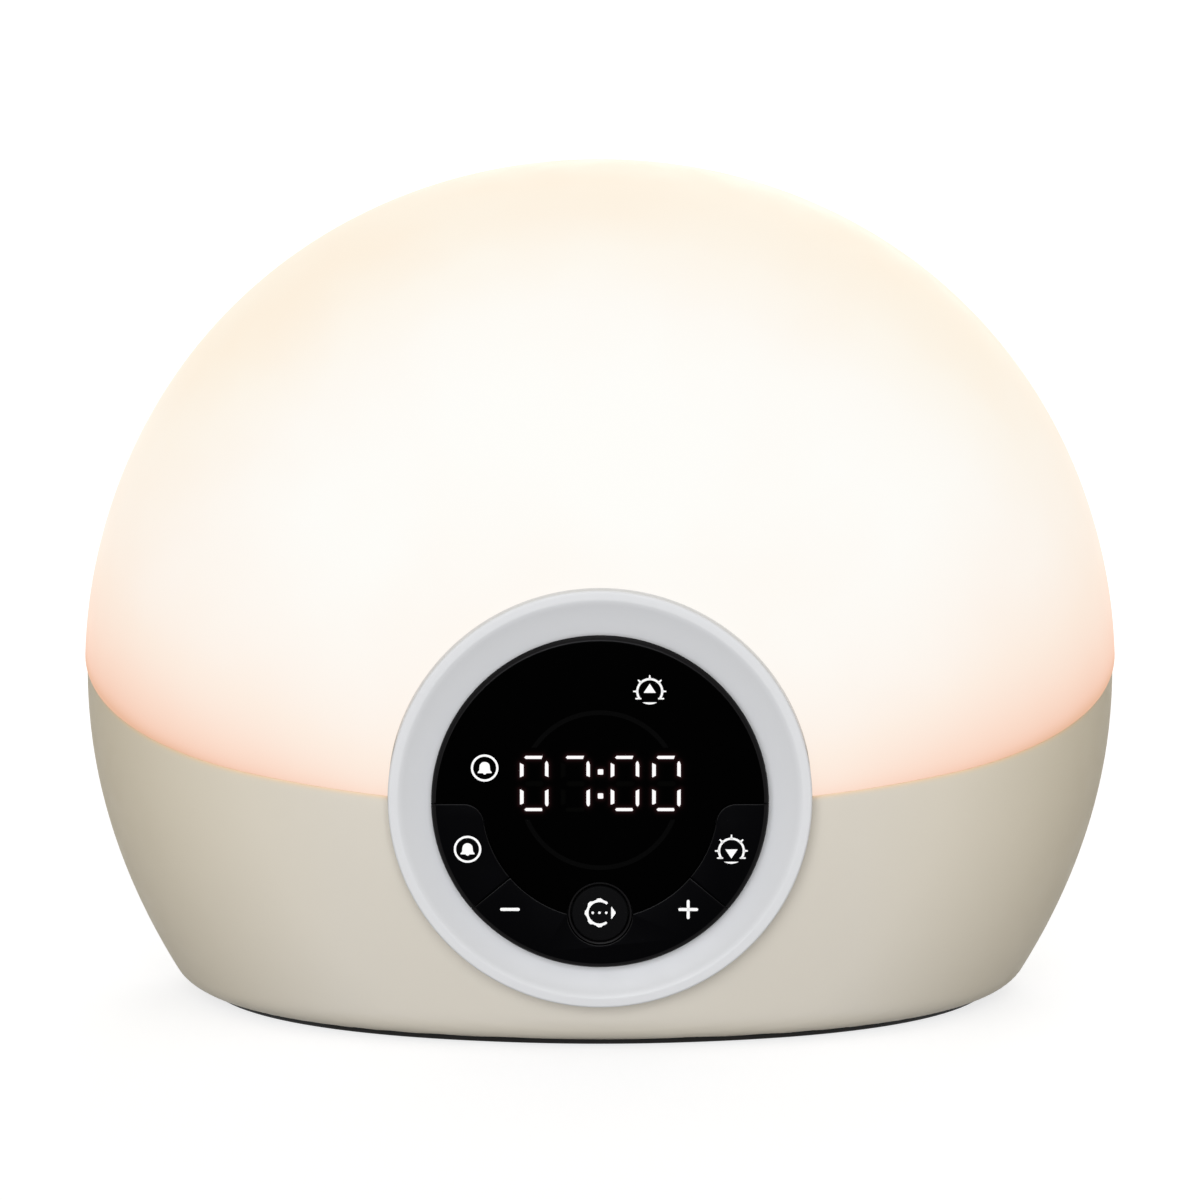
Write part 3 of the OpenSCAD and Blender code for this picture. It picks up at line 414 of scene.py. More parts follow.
# Half length, half width and depth of the cross in a screw's head, and its turn
CROSS_ARM, CROSS_BLADE, CROSS_DEPTH, CROSS_TURN = 1.55 * MM, 0.32 * MM, 0.9 * MM, math.radians(20)
REAR_SEAT_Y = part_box("rear_screws")[1].y - HEAD_T
REAR_JOINT_Y = REAR_SEAT_Y - 4 * MM
JACK_X, JACK_H = 24 * MM, 31 * MM
JACK_BORE_R, JACK_PIN_R, JACK_DEPTH, JACK_W = 2.85 * MM, 1.05 * MM, 9 * MM, 9 * MM
SPEAKER_H = 99 * MM
SPEAKER_R = 18 * MM
SOUND_R, SOUND_PITCH = 1 * MM, 5 * MM
VENT_COUNT, VENT_W, VENT_H, VENT_PITCH = 5, 36 * MM, 2 * MM, 5 * MM
CHAMFER = 0.4 * MM


def circle(x, z, radius, steps):
    return np.array(arc((x, z), radius, 0, 360, steps)[:-1]).T


def flared_hole(form, x, z, radius, y1, flare=CHAMFER, steps=32):
    """A round hole through the back wall, with a chamfer of even width that follows the wall."""
    def loop(size, y=None, lift=0.0):
        u, w = circle(x, z, size, steps)
        return np.stack([u, back_surface(u, w, SHELL_STEP) + lift if y is None else np.full(steps, y), w], axis=1)

    wide = radius + 3 * flare
    far = back_surface(0.0, AXIS_H) + 2 * MM
    form.loft([loop(radius, y1), loop(radius, lift=-flare), loop(wide, lift=2 * flare), loop(wide, far)])


def flared_slot(form, z, width, height, y1):
    """A slot with round ends through the back wall, flared where it comes out."""
    middle, half = z + height / 2, width / 2 - height / 2
    mouth = back_surface(0, middle, SHELL_STEP)
    rows = []
    for y, grow in ((y1, 0), (mouth - 1.2 * CHAMFER, 0), (mouth + 3 * CHAMFER, 4.2 * CHAMFER)):
        radius = height / 2 + grow
        ends = arc((half, middle), radius, -90, 90, 10) + arc((-half, middle), radius, 90, 270, 10)
        rows.append([(u, y, w) for u, w in ends])
    form.loft(rows)


def sound_places():
    for i in range(-2, 3):
        for j in range(-2, 3):
            if math.hypot(i, j) < 2.5:
                yield i * SOUND_PITCH, SPEAKER_H + j * SOUND_PITCH


def draped_boss(form, x, z, y1, radius):
    """A boss from y1 back to the middle of the wall, its end following the wall."""
    u, w = circle(x, z, radius, 48)
    form.loft([np.stack([u, y, w], axis=1) for y in (np.full_like(u, y1), back_surface(u, w, 1.4 * MM))])


def rear_cover(finish):
    """The back of the housing, with screw wells, sound holes, vents and the hole for the power plug."""
    turns = np.linspace(0, 2 * math.pi, 256, endpoint=False)
    middle = np.array([0.0, SPLIT_Y, AXIS_H])

    def row(tilt, distance, lift=0.0):
        t = math.radians(tilt)
        across, along = math.cos(t), np.full_like(turns, math.sin(t))
        ways = np.stack([np.cos(turns) * across, along, np.sin(turns) * across], axis=1)
        return hit(middle + (0, lift, 0), ways, distance)

    rows = []
    for t in np.linspace(math.pi / 2, 0, 6):
        inset = EDGE_R * (1 - math.cos(t))
        rows.append(row(0, lambda p: base_outside(p, inset), EDGE_R * (1 - math.sin(t))))
    rows += [row(t, base_outside) for t in np.linspace(1, 90, 84)]
    inside = [row(t, base_inside) for t in np.linspace(90, 0, 30)]
    form = Form().grid(rows, ring=True).grid(inside, ring=True).grid([inside[-1], rows[0]], ring=True)
    made = form.object("rear_cover")

    bosses, holes = Form(), Form()
    for x, z in REAR_SCREWS:
        draped_boss(bosses, x, z, REAR_JOINT_Y, 4 * MM)
        holes.rod((x, z), SPLIT_Y, REAR_SEAT_Y + 0.5 * MM, SCREW_HOLE_R, steps=32)
        flared_hole(holes, x, z, HEAD_R + HEAD_GAP, REAR_SEAT_Y)
    carve(made, bosses, "UNION")
    for x, z in sound_places():
        flared_hole(holes, x, z, SOUND_R, SPLIT_Y + 10 * MM, flare=0.25 * MM, steps=24)
    for i in range(VENT_COUNT):
        flared_slot(holes, AXIS_H - i * VENT_PITCH, VENT_W, VENT_H, SPLIT_Y + 12 * MM)
    flared_hole(holes, JACK_X, JACK_H, JACK_BORE_R + 0.8 * MM, SPLIT_Y + 12 * MM, flare=0.5 * MM, steps=48)
    carve(made, holes)
    carve(made, plate_recess())
    finish_piece(made, finish, "housing", "beige_shell", "rear_housing")


def screw(name, centre, axis, seat, head_t, shaft_end, finish, node):
    """A pan-head screw along Y or Z with a cross in its head. seat is where its head rests, and head_t is
    negative where the head looks down."""
    head = [(HEAD_R * math.sin(t), seat + head_t * (0.35 + 0.65 * math.cos(t)))
            for t in np.linspace(0, math.pi / 2, 9)]
    outline = head + [(HEAD_R, seat), (SCREW_R, seat), (SCREW_R, shaft_end), (0, shaft_end)]
    made = Form().lathe(outline, centre, axis=axis, steps=48).object(name)
    toward, top = math.copysign(1, head_t), seat + head_t
    rows = []
    # The cross starts above the head, wider than its size there, and narrows towards its foot
    for level, share in ((top + toward * 0.4 * MM, 1.15), (top - toward * CROSS_DEPTH, 0.45)):
        a, b = CROSS_ARM * share, CROSS_BLADE * (0.6 + 0.4 * share)
        row = []
        for turn in CROSS_TURN + np.arange(4) * math.pi / 2:
            c, s = math.cos(turn), math.sin(turn)
            for u, v in ((a, -b), (a, b), (b, b)):
                x, w = centre[0] + (u * c - v * s), centre[1] + (u * s + v * c)
                row.append((x, level, w) if axis == "Y" else (x, w, level))
        rows.append(row)
    carve(made, Form().loft(rows))
    finish_piece(made, finish, "housing", "steel", node)


def power_socket(black, steel):
    """The barrel socket: its block with a bore, the pin and the contact that lines the bore."""
    start, mouth = (corner.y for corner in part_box("power_inlet"))
    place, floor_y = (JACK_X, JACK_H), mouth - JACK_DEPTH
    outline = filleted([(i * JACK_W / 2, j * JACK_W / 2, 1 * MM) for i, j in SQUARE])
    rows = [[(JACK_X + u * share, y, JACK_H + v * share) for u, v in outline]
            for share, y in ((1, start), (1, mouth - 0.2 * MM), (0.95, mouth))]
    body = Form().loft(rows).object("power_socket")
    bore = [(0, floor_y), (JACK_BORE_R, floor_y), (JACK_BORE_R, mouth - 0.4 * MM)]
    bore += [(JACK_BORE_R + 0.8 * MM, mouth + 0.4 * MM), (0, mouth + 0.4 * MM)]
    carve(body, Form().lathe(bore, place, steps=64))
    finish_piece(body, black, "housing", "switch_black", "power_inlet")
    tip = mouth - 0.5 * MM
    pin = [(0, tip)] + arc((JACK_PIN_R - 0.4 * MM, tip - 0.4 * MM), 0.4 * MM, 90, 0, 6)
    pin += [(JACK_PIN_R, floor_y - 0.5 * MM), (0, floor_y - 0.5 * MM)]
    inner = JACK_BORE_R - 0.25 * MM
    sleeve = [(JACK_BORE_R, mouth - 3 * MM), (JACK_BORE_R, floor_y + 0.3 * MM)]
    sleeve += [(inner, floor_y + 0.3 * MM), (inner, mouth - 3.2 * MM)]
    for form, name in (
            (Form().lathe(pin, place, steps=48), "socket_pin"),
            (Form().lathe(sleeve, place, steps=64, tube=True), "socket_contact")):
        finish_piece(form.object(name), steel, "housing", "steel", "power_inlet")


def speaker_cone(finish):
    """Frame, rolled surround, paper cone and dust cap of the speaker behind the sound holes."""
    low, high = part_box("speaker_frame")
    rim_y = high.y
    outline = [(0, low.y), (14 * MM, low.y), (14 * MM, rim_y - 2 * MM)]
    outline += [(SPEAKER_R, rim_y - 2 * MM), (SPEAKER_R, rim_y), (16.6 * MM, rim_y)]
    outline += arc((15.1 * MM, rim_y - 0.9 * MM), 1.1 * MM, 10, 170, 10)
    outline += [(12.9 * MM, rim_y - 1 * MM), (6 * MM, rim_y - 3.2 * MM)]
    outline += arc((0, rim_y - 6.6 * MM), 5.4 * MM, 40, 90, 8)
    made = Form().lathe(outline, (0, SPEAKER_H), steps=96).object("speaker_cone")
    finish_piece(made, finish, "housing", "component_black", "speaker_frame")


# ---- Underside ----
FOOT_R = 7 * MM
FOOT_PLACES = [(side * x * MM, WIDE_Y + y * MM) for side in (-1, 1) for x, y in ((54, -24), (44, 16))]
UNDER_SCREWS = [(side * x * MM, WIDE_Y + y * MM) for side in (-1, 1) for x, y in ((64, -6), (30, 24))]
FOOT_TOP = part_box("feet")[1].z


def underside_plate(finish):
    """The black plate with wells for the feet and the screws, and a patch of grooves."""
    edge, side = 0.5 * MM, HEAD_R + HEAD_GAP
    rows = [plate_loop(PLATE_TOP, PLATE_INSET)]
    for t in np.linspace(0, math.pi / 2, 5):
        rows.append(plate_loop(PLATE_Z + edge * (1 - math.sin(t)), PLATE_INSET + edge * (1 - math.cos(t))))
    made = Form().loft(rows).object("underside_plate")
    holes = Form()
    for place in FOOT_PLACES:
        holes.rod(place, 0, FOOT_TOP, FOOT_R + FIT_GAP, axis="Z", steps=64)
    for place in UNDER_SCREWS:
        outline = [(0, 0), (HEAD_R + 1.1 * MM, 0), (side, PLATE_Z + 0.4 * MM), (side, FOOT_TOP)]
        outline += [(UNDER_HOLE_R, FOOT_TOP), (UNDER_HOLE_R, FLOOR_TOP), (0, FLOOR_TOP)]
        holes.lathe(outline, place, axis="Z", steps=48)
    groove = arc((0, 0), 0.5 * MM, 0, 360, 12)[:-1]
    for i in range(-3, 4):
        middle = WIDE_Y + i * 4 * MM
        holes.loft([[(x, middle + u, PLATE_Z + v * 0.6) for u, v in groove] for x in (-14 * MM, 14 * MM)])
    carve(made, holes)
    finish_piece(made, finish, "housing", "black_plate", "bottom_plate")


def foot_pad(name, place, finish):
    """A rubber pad with round grip grooves in its sole."""
    edge = 0.4 * MM
    outline = [(0, FOOT_TOP), (FOOT_R, FOOT_TOP)]
    outline += arc((FOOT_R - edge, edge), edge, 0, -90, 5)
    for radius in (5.4, 3.9, 2.4):
        outline += arc((radius * MM, -0.05 * MM), 0.28 * MM, 10, 170, 6)
    outline.append((0, 0))
    made = Form().lathe([(u, max(0.0, v)) for u, v in outline], place, axis="Z", steps=72).object(name)
    finish_piece(made, finish, "housing", "foot_rubber", "feet")


# ---- Ring, drum, lens and keys ----

def trim_ring(finish):
    """The bezel ring: a flat lip, a soft step, then a hollow dish in to the drum."""
    inner_r = DRUM_NECK_R + FIT_GAP
    dish_out = RING_R - RING_LIP - 0.35 * MM
    first, last = 0.22 * MM, 0.9 * DISH
    outline = filleted([
        (RING_R - RING_WALL, FLANGE_Y, 0), (RING_R, FLANGE_Y, 0), (RING_R, LIP_Y, 0.5 * MM),
        (RING_R - RING_LIP + 0.3 * MM, LIP_Y, 1.5 * MM), (dish_out, LIP_Y + first, 0)], steps=8)
    for s in np.linspace(0, 1, 28)[1:]:
        sunk = first + (last - first) * (1 - (1 - s) ** 2)
        outline.append((dish_out + (inner_r - dish_out) * s, LIP_Y + sunk))
    back = LIP_Y + DISH + RING_WALL
    outline += [(inner_r, back), (RING_R - RING_WALL, back)]
    made = Form().lathe(outline, (0, DISPLAY_H), steps=288, tube=True).object("trim_ring", sharp=40)
    finish_piece(made, finish, "housing", "ring_white", "bezel_ring")


FILLET_X = math.sqrt((KEY_R + KEY_CORNER) ** 2 - KEY_CORNER ** 2)
FILLET_TURN = math.degrees(math.atan2(KEY_CORNER, FILLET_X))


def meeting(ring_r, hole_r):
    """Half angles, at the display's axis and at the menu button, where a circle round the axis meets one round
    the button."""
    at_axis = math.acos((ring_r ** 2 + MENU_DROP ** 2 - hole_r ** 2) / (2 * ring_r * MENU_DROP))
    at_button = math.acos((MENU_DROP ** 2 + hole_r ** 2 - ring_r ** 2) / (2 * MENU_DROP * hole_r))
    return math.degrees(at_axis), math.degrees(at_button)


def lens_outline(outer_r, trim):
    """The lens's outline, trimmed by a little where it meets the keys."""
    ring_r, hole_r = KEY_R - trim, COLLAR_R + FIT_GAP + trim
    at_axis, at_button = meeting(ring_r, hole_r)
    lift = math.degrees(math.asin(trim / outer_r))
    points = arc((0, 0), outer_r, lift, 180 - lift, 180)
    points += arc((-FILLET_X, -KEY_CORNER), KEY_CORNER + trim, 90, FILLET_TURN, 14)
    points += arc((0, 0), ring_r, 180 + FILLET_TURN, 270 - at_axis, 70)[1:]
    points += arc((0, -MENU_DROP), hole_r, 90 + at_button, 90 - at_button, 24)[1:]
    points += arc((0, 0), ring_r, 270 + at_axis, 360 - FILLET_TURN, 70)[1:]
    points += arc((FILLET_X, -KEY_CORNER), KEY_CORNER + trim, 180 - FILLET_TURN, 90, 14)[1:]
    return points


def outer_key_outline(outer_r, trim, side):
    """The alarm key's outline for side -1, and the light key's for side 1."""
    gap, half_gap = KEY_GAP + trim, KEY_GAP / 2 + trim
    ring_r = KEY_R + gap
    limit = 180 + math.degrees(KEY_ANGLE)
    start = 180 + math.degrees(math.asin(gap / outer_r))
    points = arc((0, 0), outer_r, start, limit - math.degrees(math.asin(half_gap / outer_r)), 60)
    points += arc((0, 0), ring_r, limit - math.degrees(math.asin(half_gap / ring_r)), 180 + FILLET_TURN, 40)
    points += arc((-FILLET_X, -KEY_CORNER), KEY_CORNER - gap, FILLET_TURN, 90, 14)[1:]
    return [(-side * x, h) for x, h in points]


def rocker_outline(outer_r, trim):
    gap, half_gap = KEY_GAP + trim, KEY_GAP / 2 + trim
    ring_r, hole_r = KEY_R + gap, COLLAR_R + gap
    at_axis, at_button = meeting(ring_r, hole_r)
    limit = math.degrees(KEY_ANGLE)
    at_rim, at_ring = (math.degrees(math.asin(half_gap / r)) for r in (outer_r, ring_r))
    points = arc((0, 0), outer_r, 180 + limit + at_rim, 360 - limit - at_rim, 120)
    points += arc((0, 0), ring_r, 360 - limit - at_ring, 270 + at_axis, 40)
    points += arc((0, -MENU_DROP), hole_r, 90 - at_button, 90 + at_button - 360, 90)[1:]
    points += arc((0, 0), ring_r, 270 - at_axis, 180 + limit + at_ring, 40)[1:]
    return points


NECK_Y = LIP_Y + DISH - 0.3 * MM


def rim_r(depth):
    """Radius of the drum at a depth behind its face: a round bevel, then a taper in towards the ring."""
    if depth < RIM_BEVEL:
        return DRUM_R - RIM_BEVEL + math.sqrt(RIM_BEVEL ** 2 - (RIM_BEVEL - depth) ** 2)
    share = (depth - RIM_BEVEL) / (NECK_Y - FACE_Y - RIM_BEVEL)
    return DRUM_R - (DRUM_R - DRUM_NECK_R) * min(1.0, share)


# Depths of the rows that make the rim's round bevel, in millimetres
BEVEL_DEPTHS = (0.85, 0.62, 0.45, 0.3, 0.2, 0.12, 0.06, 0.02, 0)


def plate_rows(outline, back):
    """Loops of a face plate: the rim's bevel is round, and so are its small inner edges."""
    front = FACE_Y + MARK_T
    rows = []
    for depth in [back - front, RIM_BEVEL] + [d * MM for d in BEVEL_DEPTHS]:
        small = max(0.0, KEY_EDGE - depth)
        trim = KEY_EDGE - math.sqrt(KEY_EDGE ** 2 - small ** 2)
        rows.append([(x, front + depth, DISPLAY_H + h) for x, h in outline(rim_r(depth), trim)])
    return rows


# Faces of the rim's bevel, and small edges that look up, get a polish and a painted highlight; these shares pick
# them
# An edge looks forward by more than the first share and less than the second, and up by more than the third
EDGE_SIDEWAYS, EDGE_FORWARD, EDGE_UP = 0.2, 0.985, 0.05


def paint_edge_highlights(thing, polish_and_painted_highlight, all_round=False):
    """Gives the bevel round the drum, and the small edges that look up, a polish and a painted highlight."""
    thing.data.materials.append(polish_and_painted_highlight.material)
    for face in thing.data.polygons:
        toward = -face.normal.y
        at_rim = math.hypot(face.center.x, face.center.z - DISPLAY_H) > DRUM_R - 1.05 * RIM_BEVEL
        if EDGE_SIDEWAYS < toward < EDGE_FORWARD and (at_rim or all_round or face.normal.z > EDGE_UP):
            face.material_index = 1


POST_RING = 24.8 * MM
POST_R, MENU_POST_R, MENU_HOLE_R = 1.6 * MM, 2 * MM, 2.06 * MM
# Where the keys' and the rocker's posts stand, in degrees below the horizontal, and the play round them in the deck
KEY_POST_ANGLE, ROCKER_POST_ANGLE = 20, 50
POST_GAP, ROCKER_POST_GAP = 0.06 * MM, 0.35 * MM
DRUM_WALL, DECK_T, DRUM_FLANGE_R = 1.8 * MM, 2 * MM, 40.2 * MM
WINDOW_HALF_W, WINDOW_HALF_H = 19.2 * MM, 8.2 * MM


def post_place(side, angle):
    a = math.radians(angle)
    return side * POST_RING * math.cos(a), DISPLAY_H - POST_RING * math.sin(a)


def face_plate(name, outline, back, finish, polish_and_painted_highlight, body, slot, node, posts=(), post_r=POST_R):
    """The lens or a key: a plate with guide posts and a polished rim with a painted highlight."""
    form = Form().loft(plate_rows(outline, back))
    for place in posts:
        form.rod(place, CAP_BACK_Y - 0.2 * MM, POST_END_Y, post_r)
    paint_edge_highlights(finish_piece(form.object(name, sharp=25), finish, body, slot, node), polish_and_painted_highlight)


def menu_cap(finish):
    """The round menu button with its post."""
    front = FACE_Y + MARK_T
    outline = filleted([
        (0, front, 0), (MENU_R, front, 0.3 * MM), (MENU_R, CAP_BACK_Y, 0), (MENU_POST_R, CAP_BACK_Y, 0)], steps=8)
    outline += [(MENU_POST_R, POST_END_Y), (0, POST_END_Y)]
    made = Form().lathe(outline, (0, DISPLAY_H - MENU_DROP), steps=128).object("menu_cap")
    finish_piece(made, finish, "menu", "key_black", "menu_button")


def drum_case(finish):
    """The drum: its wall and deck, the ledge that carries the lens, and holes for the posts and the digits."""
    inner_r, behind, deck_r = DRUM_R - DRUM_WALL, DECK_Y + DECK_T, rim_r(DECK_Y - FACE_Y)
    start, end = DECK_Y - 1 * MM, DECK_Y + 3 * MM
    wall = filleted([
        (0, DECK_Y, 0), (deck_r, DECK_Y, 0.3 * MM), (DRUM_NECK_R, NECK_Y, 0.3 * MM),
        (DRUM_NECK_R, FLANGE_Y, 0), (DRUM_FLANGE_R, FLANGE_Y, 0), (DRUM_FLANGE_R, COVER_Y, 0), (inner_r, COVER_Y, 0),
        (inner_r, behind, 0), (0, behind, 0)])
    made = Form().lathe(wall, (0, DISPLAY_H), steps=256).object("drum_case")
    carve(made, Form().slab(lens_outline(deck_r, 0.0), LENS_BACK_Y, DECK_Y + 0.5 * MM), "UNION")
    holes = Form()
    for side in (-1, 1):
        for angle, gap in ((KEY_POST_ANGLE, POST_GAP), (ROCKER_POST_ANGLE, ROCKER_POST_GAP)):
            holes.rod(post_place(side, angle), start, end, POST_R + gap, steps=40)
    holes.rod((0, DISPLAY_H - MENU_DROP), start, end, MENU_HOLE_R, steps=40)
    window = [(i * WINDOW_HALF_W, DIGIT_RISE + j * WINDOW_HALF_H) for i, j in SQUARE]
    holes.slab(window, LENS_BACK_Y - 1 * MM, end)
    carve(made, holes)
    finish_piece(made, finish, "housing", "drum_black", "display_drum")


def menu_collar(finish, polish_and_painted_highlight):
    """The drum's collar round the menu button, its edges polished and painted lighter as a highlight."""
    top, foot, inside = FACE_Y + 0.2 * MM, DECK_Y + 0.1 * MM, MENU_R + MENU_GAP
    outline = filleted([
        (inside, foot, 0), (inside, top + 0.6 * MM, 0), (inside + 0.16 * MM, top + 0.15 * MM, 0),
        (COLLAR_R, top, 0.06 * MM), (COLLAR_R, foot, 0)])
    made = Form().lathe(outline, (0, DISPLAY_H - MENU_DROP), steps=128, tube=True).object("menu_collar")
    finish_piece(made, finish, "housing", "drum_black", "display_drum")
    # All its small edges get the polish and the painted highlight
    paint_edge_highlights(made, polish_and_painted_highlight, all_round=True)


# ---- Symbols ----
# Each is a list of flat outlines in millimetres about its own middle, drawn as thin print on the face.

SYMBOL_RING = 2.42
SYMBOL_LINE = 0.43


def band(radius, line, start, end, steps=40):
    """An arc with a width, its ends square."""
    return arc((0, 0), radius + line / 2, start, end, steps) + arc((0, 0), radius - line / 2, end, start, steps)


def capsule(x1, h1, x2, h2, line):
    a = math.degrees(math.atan2(h2 - h1, x2 - x1))
    return arc((x2, h2), line / 2, a - 90, a + 90, 8) + arc((x1, h1), line / 2, a + 90, a + 270, 8)


def bell():
    body = arc((0, 0.2), 1.0, 5, 175, 20)
    left = [(-1.03, -0.35), (-1.12, -0.56), (-1.34, -0.76), (-1.34, -0.95), (-1.22, -1.0), (-0.4, -1.0)]
    right = [(-x, h) for x, h in reversed(left)]
    clapper = arc((0, -0.95), 0.32, 200, 340, 8)
    return [body + left + clapper + right]


def sun(point):
    """A risen sun with rays and a strip of horizon. point is +1 for the arrow up, -1 for down."""
    shapes = [band(SYMBOL_RING - 0.04, SYMBOL_LINE, -38, 218, 60)]
    for turn in (90, 45, 135, 0, 180):
        a = math.radians(turn)
        along, across = np.array((math.cos(a), math.sin(a))), np.array((-math.sin(a), math.cos(a)))
        half = ((2.3, -0.3), (2.6, -0.26), (2.8, -0.15), (3.16, -0.13))
        ray = half + tuple((u, -v) for u, v in half[::-1])
        shapes.append([tuple(along * u + across * v) for u, v in ray])
    for side in (-1, 1):
        shapes.append(capsule(side * 1.72, -1.4, side * 2.62, -1.4, 0.3))
    shapes.append(arc((0, 0.13), 2.65, 238, 302, 16))
    tip, flat = (1.5, -0.28) if point > 0 else (-1.5, 0.3)
    shapes.append([(-1.18, flat), (1.18, flat), (0, tip)])
    return shapes


def menu_symbol():
    """A scalloped ring open to the right, three dots and an arrowhead."""
    turns = np.linspace(50, 307, 180)
    outer, inner = [], []
    for t in turns:
        lobe = min(1.0, max(0.0, 0.45 + 0.75 * math.cos(math.radians(8 * (t - 90)))))
        ends = min(1.0, (t - 50) / 10, (307 - t) / 10)
        reach = 2.58 + 0.26 * lobe * ends - 0.1 * (1 - ends)
        outer.append((reach * math.cos(math.radians(t)), reach * math.sin(math.radians(t))))
        inner.append((2.1 * math.cos(math.radians(t)), 2.1 * math.sin(math.radians(t))))
    shapes = [outer + inner[::-1]]
    shapes += [arc((x, 0), 0.26, 0, 360, 16)[:-1] for x in (-1.3, 0.0, 1.3)]
    shapes.append([(2.24, -1.14), (2.36, -1.16), (3.1, -0.12), (3.1, 0.12), (2.36, 1.16), (2.24, 1.14)])
    return shapes


SEGMENTS = {
    "top": [(-1.9, 5.1), (-1.6, 5.42), (1.6, 5.42), (1.38, 4.82), (-1.6, 4.82)],
    "bottom": [(-1.9, -5.04), (-1.6, -4.74), (1.4, -4.74), (1.56, -5.14), (1.4, -5.34), (-1.6, -5.34)],
    "upper_left": [(-2.74, 4.0), (-2.66, 4.0), (-2.04, 3.68), (-2.04, 1.56), (-2.62, 1.27), (-2.74, 1.27)],
    "lower_left": [(-2.74, -1.12), (-2.62, -1.12), (-2.04, -1.46), (-2.04, -3.8), (-2.5, -4.04), (-2.74, -4.04)],
    "upper_right": [(2.4, 4.42), (2.58, 4.15), (2.72, 3.7), (2.72, 1.3), (2.06, 1.56), (2.06, 3.95), (2.2, 4.25)],
    "lower_right": [
        (2.72, -1.08), (2.72, -4.0), (2.55, -4.36), (2.4, -4.42), (2.18, -4.25), (2.06, -3.9), (2.06, -1.42)],
}
MIDDLE_SEGMENT = [(-1.7, 0.0), (-1.35, 0.38), (1.35, 0.38), (1.7, 0.0), (1.35, -0.38), (-1.35, -0.38)]
ZERO = list(SEGMENTS)
SEVEN = ["top", "upper_right", "lower_right"]
DIGITS = [(-12.58, ZERO), (-4.65, SEVEN), (4.78, ZERO), (12.72, ZERO)]
COLON = [(0.1, 2.29), (0.1, -2.39)]


def shifted(outline, x, h):
    return [(x + u, h + v) for u, v in outline]


def time_outlines():
    lit = [shifted(SEGMENTS[name], x, 0) for x, names in DIGITS for name in names]
    dot = filleted([(i * 0.52, j * 0.52, 0.18) for i, j in SQUARE], steps=3)
    return lit + [shifted(dot, x, h) for x, h in COLON]


def mark(name, outlines, x, h, finish, body, slot, front=FACE_Y, ringed=False):
    """Prints flat outlines on the face, their middle at x and h from the display's axis, in millimetres."""
    form, back = Form(), FACE_Y + PRINT_T
    for outline in outlines:
        form.slab([(u * MM, v * MM) for u, v in shifted(outline, x, h)], front, back)
    if ringed:
        radius, line = SYMBOL_RING * MM, SYMBOL_LINE * MM / 2
        loop = [(radius + i * line, back if j > 0 else front) for i, j in SQUARE]
        form.lathe(loop, (x * MM, DISPLAY_H + h * MM), steps=96, tube=True)
    finish_piece(form.object(name), finish, body, slot)


def segment_distance(points, outline):
    """Distance of (x, height) points to a convex outline, zero inside."""
    best = np.full(points.shape[0], np.inf)
    inside = np.ones(points.shape[0], bool)
    middle = np.mean(outline, axis=0)
    for i, start in enumerate(outline):
        start, end = np.array(start), np.array(outline[(i + 1) % len(outline)])
        way = end - start
        t = np.clip((points - start) @ way / (way @ way), 0, 1)
        best = np.minimum(best, np.linalg.norm(points - start - t[:, None] * way, axis=1))
        normal = np.array([way[1], -way[0]])
        inside &= ((points - start) @ normal) * ((middle - start) @ normal) >= 0
    return np.where(inside, 0.0, best)


def digit_window(finish):
    """The part of the lens in front of the digits, with the digits' halo and their unlit bars as an attribute."""
    step = 0.2
    xs, hs = np.arange(-18, 18.01, step), np.arange(-7, 7.01, step)
    flat = np.stack(np.meshgrid(xs, hs), axis=-1).reshape(-1, 2)
    unlit = [shifted(MIDDLE_SEGMENT, x, 0) for x, _ in DIGITS]
    unlit += [shifted(SEGMENTS[name], DIGITS[1][0], 0) for name in ZERO if name not in SEVEN]
    lit, ghost = (np.min([segment_distance(flat, o) for o in group], axis=0) for group in (time_outlines(), unlit))

    def point(x, h, y):
        return x * MM, y, DISPLAY_H + DIGIT_RISE + h * MM

    rim = [(x, hs[0]) for x in xs] + [(xs[-1], h) for h in hs[1:]]
    rim += [(x, hs[-1]) for x in xs[-2::-1]] + [(xs[0], h) for h in hs[-2:0:-1]]
    front, back = ([point(x, h, FACE_Y + share * MARK_T) for x, h in rim] for share in (0.7, 2))
    form = Form().grid([[point(x, h, front[0][1]) for x in xs] for h in hs])
    made = form.grid([front, back], ring=True).cap(back).object("digit_window")
    mesh = made.data
    places = np.array([v.co for v in mesh.vertices]) - point(0, 0, 0)
    column, line = (np.clip(np.round((places[:, axis] / MM - first) / step).astype(int), 0, count - 1)
                    for axis, first, count in ((0, xs[0], len(xs)), (2, hs[0], len(hs))))
    index = line * len(xs) + column
    for name, values in (("halo", np.exp(-lit / 0.28)), ("unlit", np.clip(1 - ghost / 0.2, 0, 1))):
        attribute = mesh.attributes.new(name, "FLOAT", "POINT")
        attribute.data.foreach_set("value", values[index].astype(np.float32))
    finish_piece(made, finish, "housing", "lens_black")


# ---- Finishes ----
# Sizes of the clouds that colour and roughness follow on moulded plastic
COLOUR_CLOUD, WEAR_CLOUD = 18 * MM, 5 * MM
# A noise's usual values lie between these
NOISE_LOW, NOISE_HIGH = 0.3, 0.7


def rgb(red, green, blue):
    """A colour as written for a screen, 0 to 255, as light."""
    def light(value):
        value /= 255
        return value / 12.92 if value <= 0.04045 else ((value + 0.055) / 1.055) ** 2.4
    return light(red), light(green), light(blue), 1.0


def shade(colour, factor):
    return tuple(min(1.0, c * factor) for c in colour[:3]) + (1.0,)


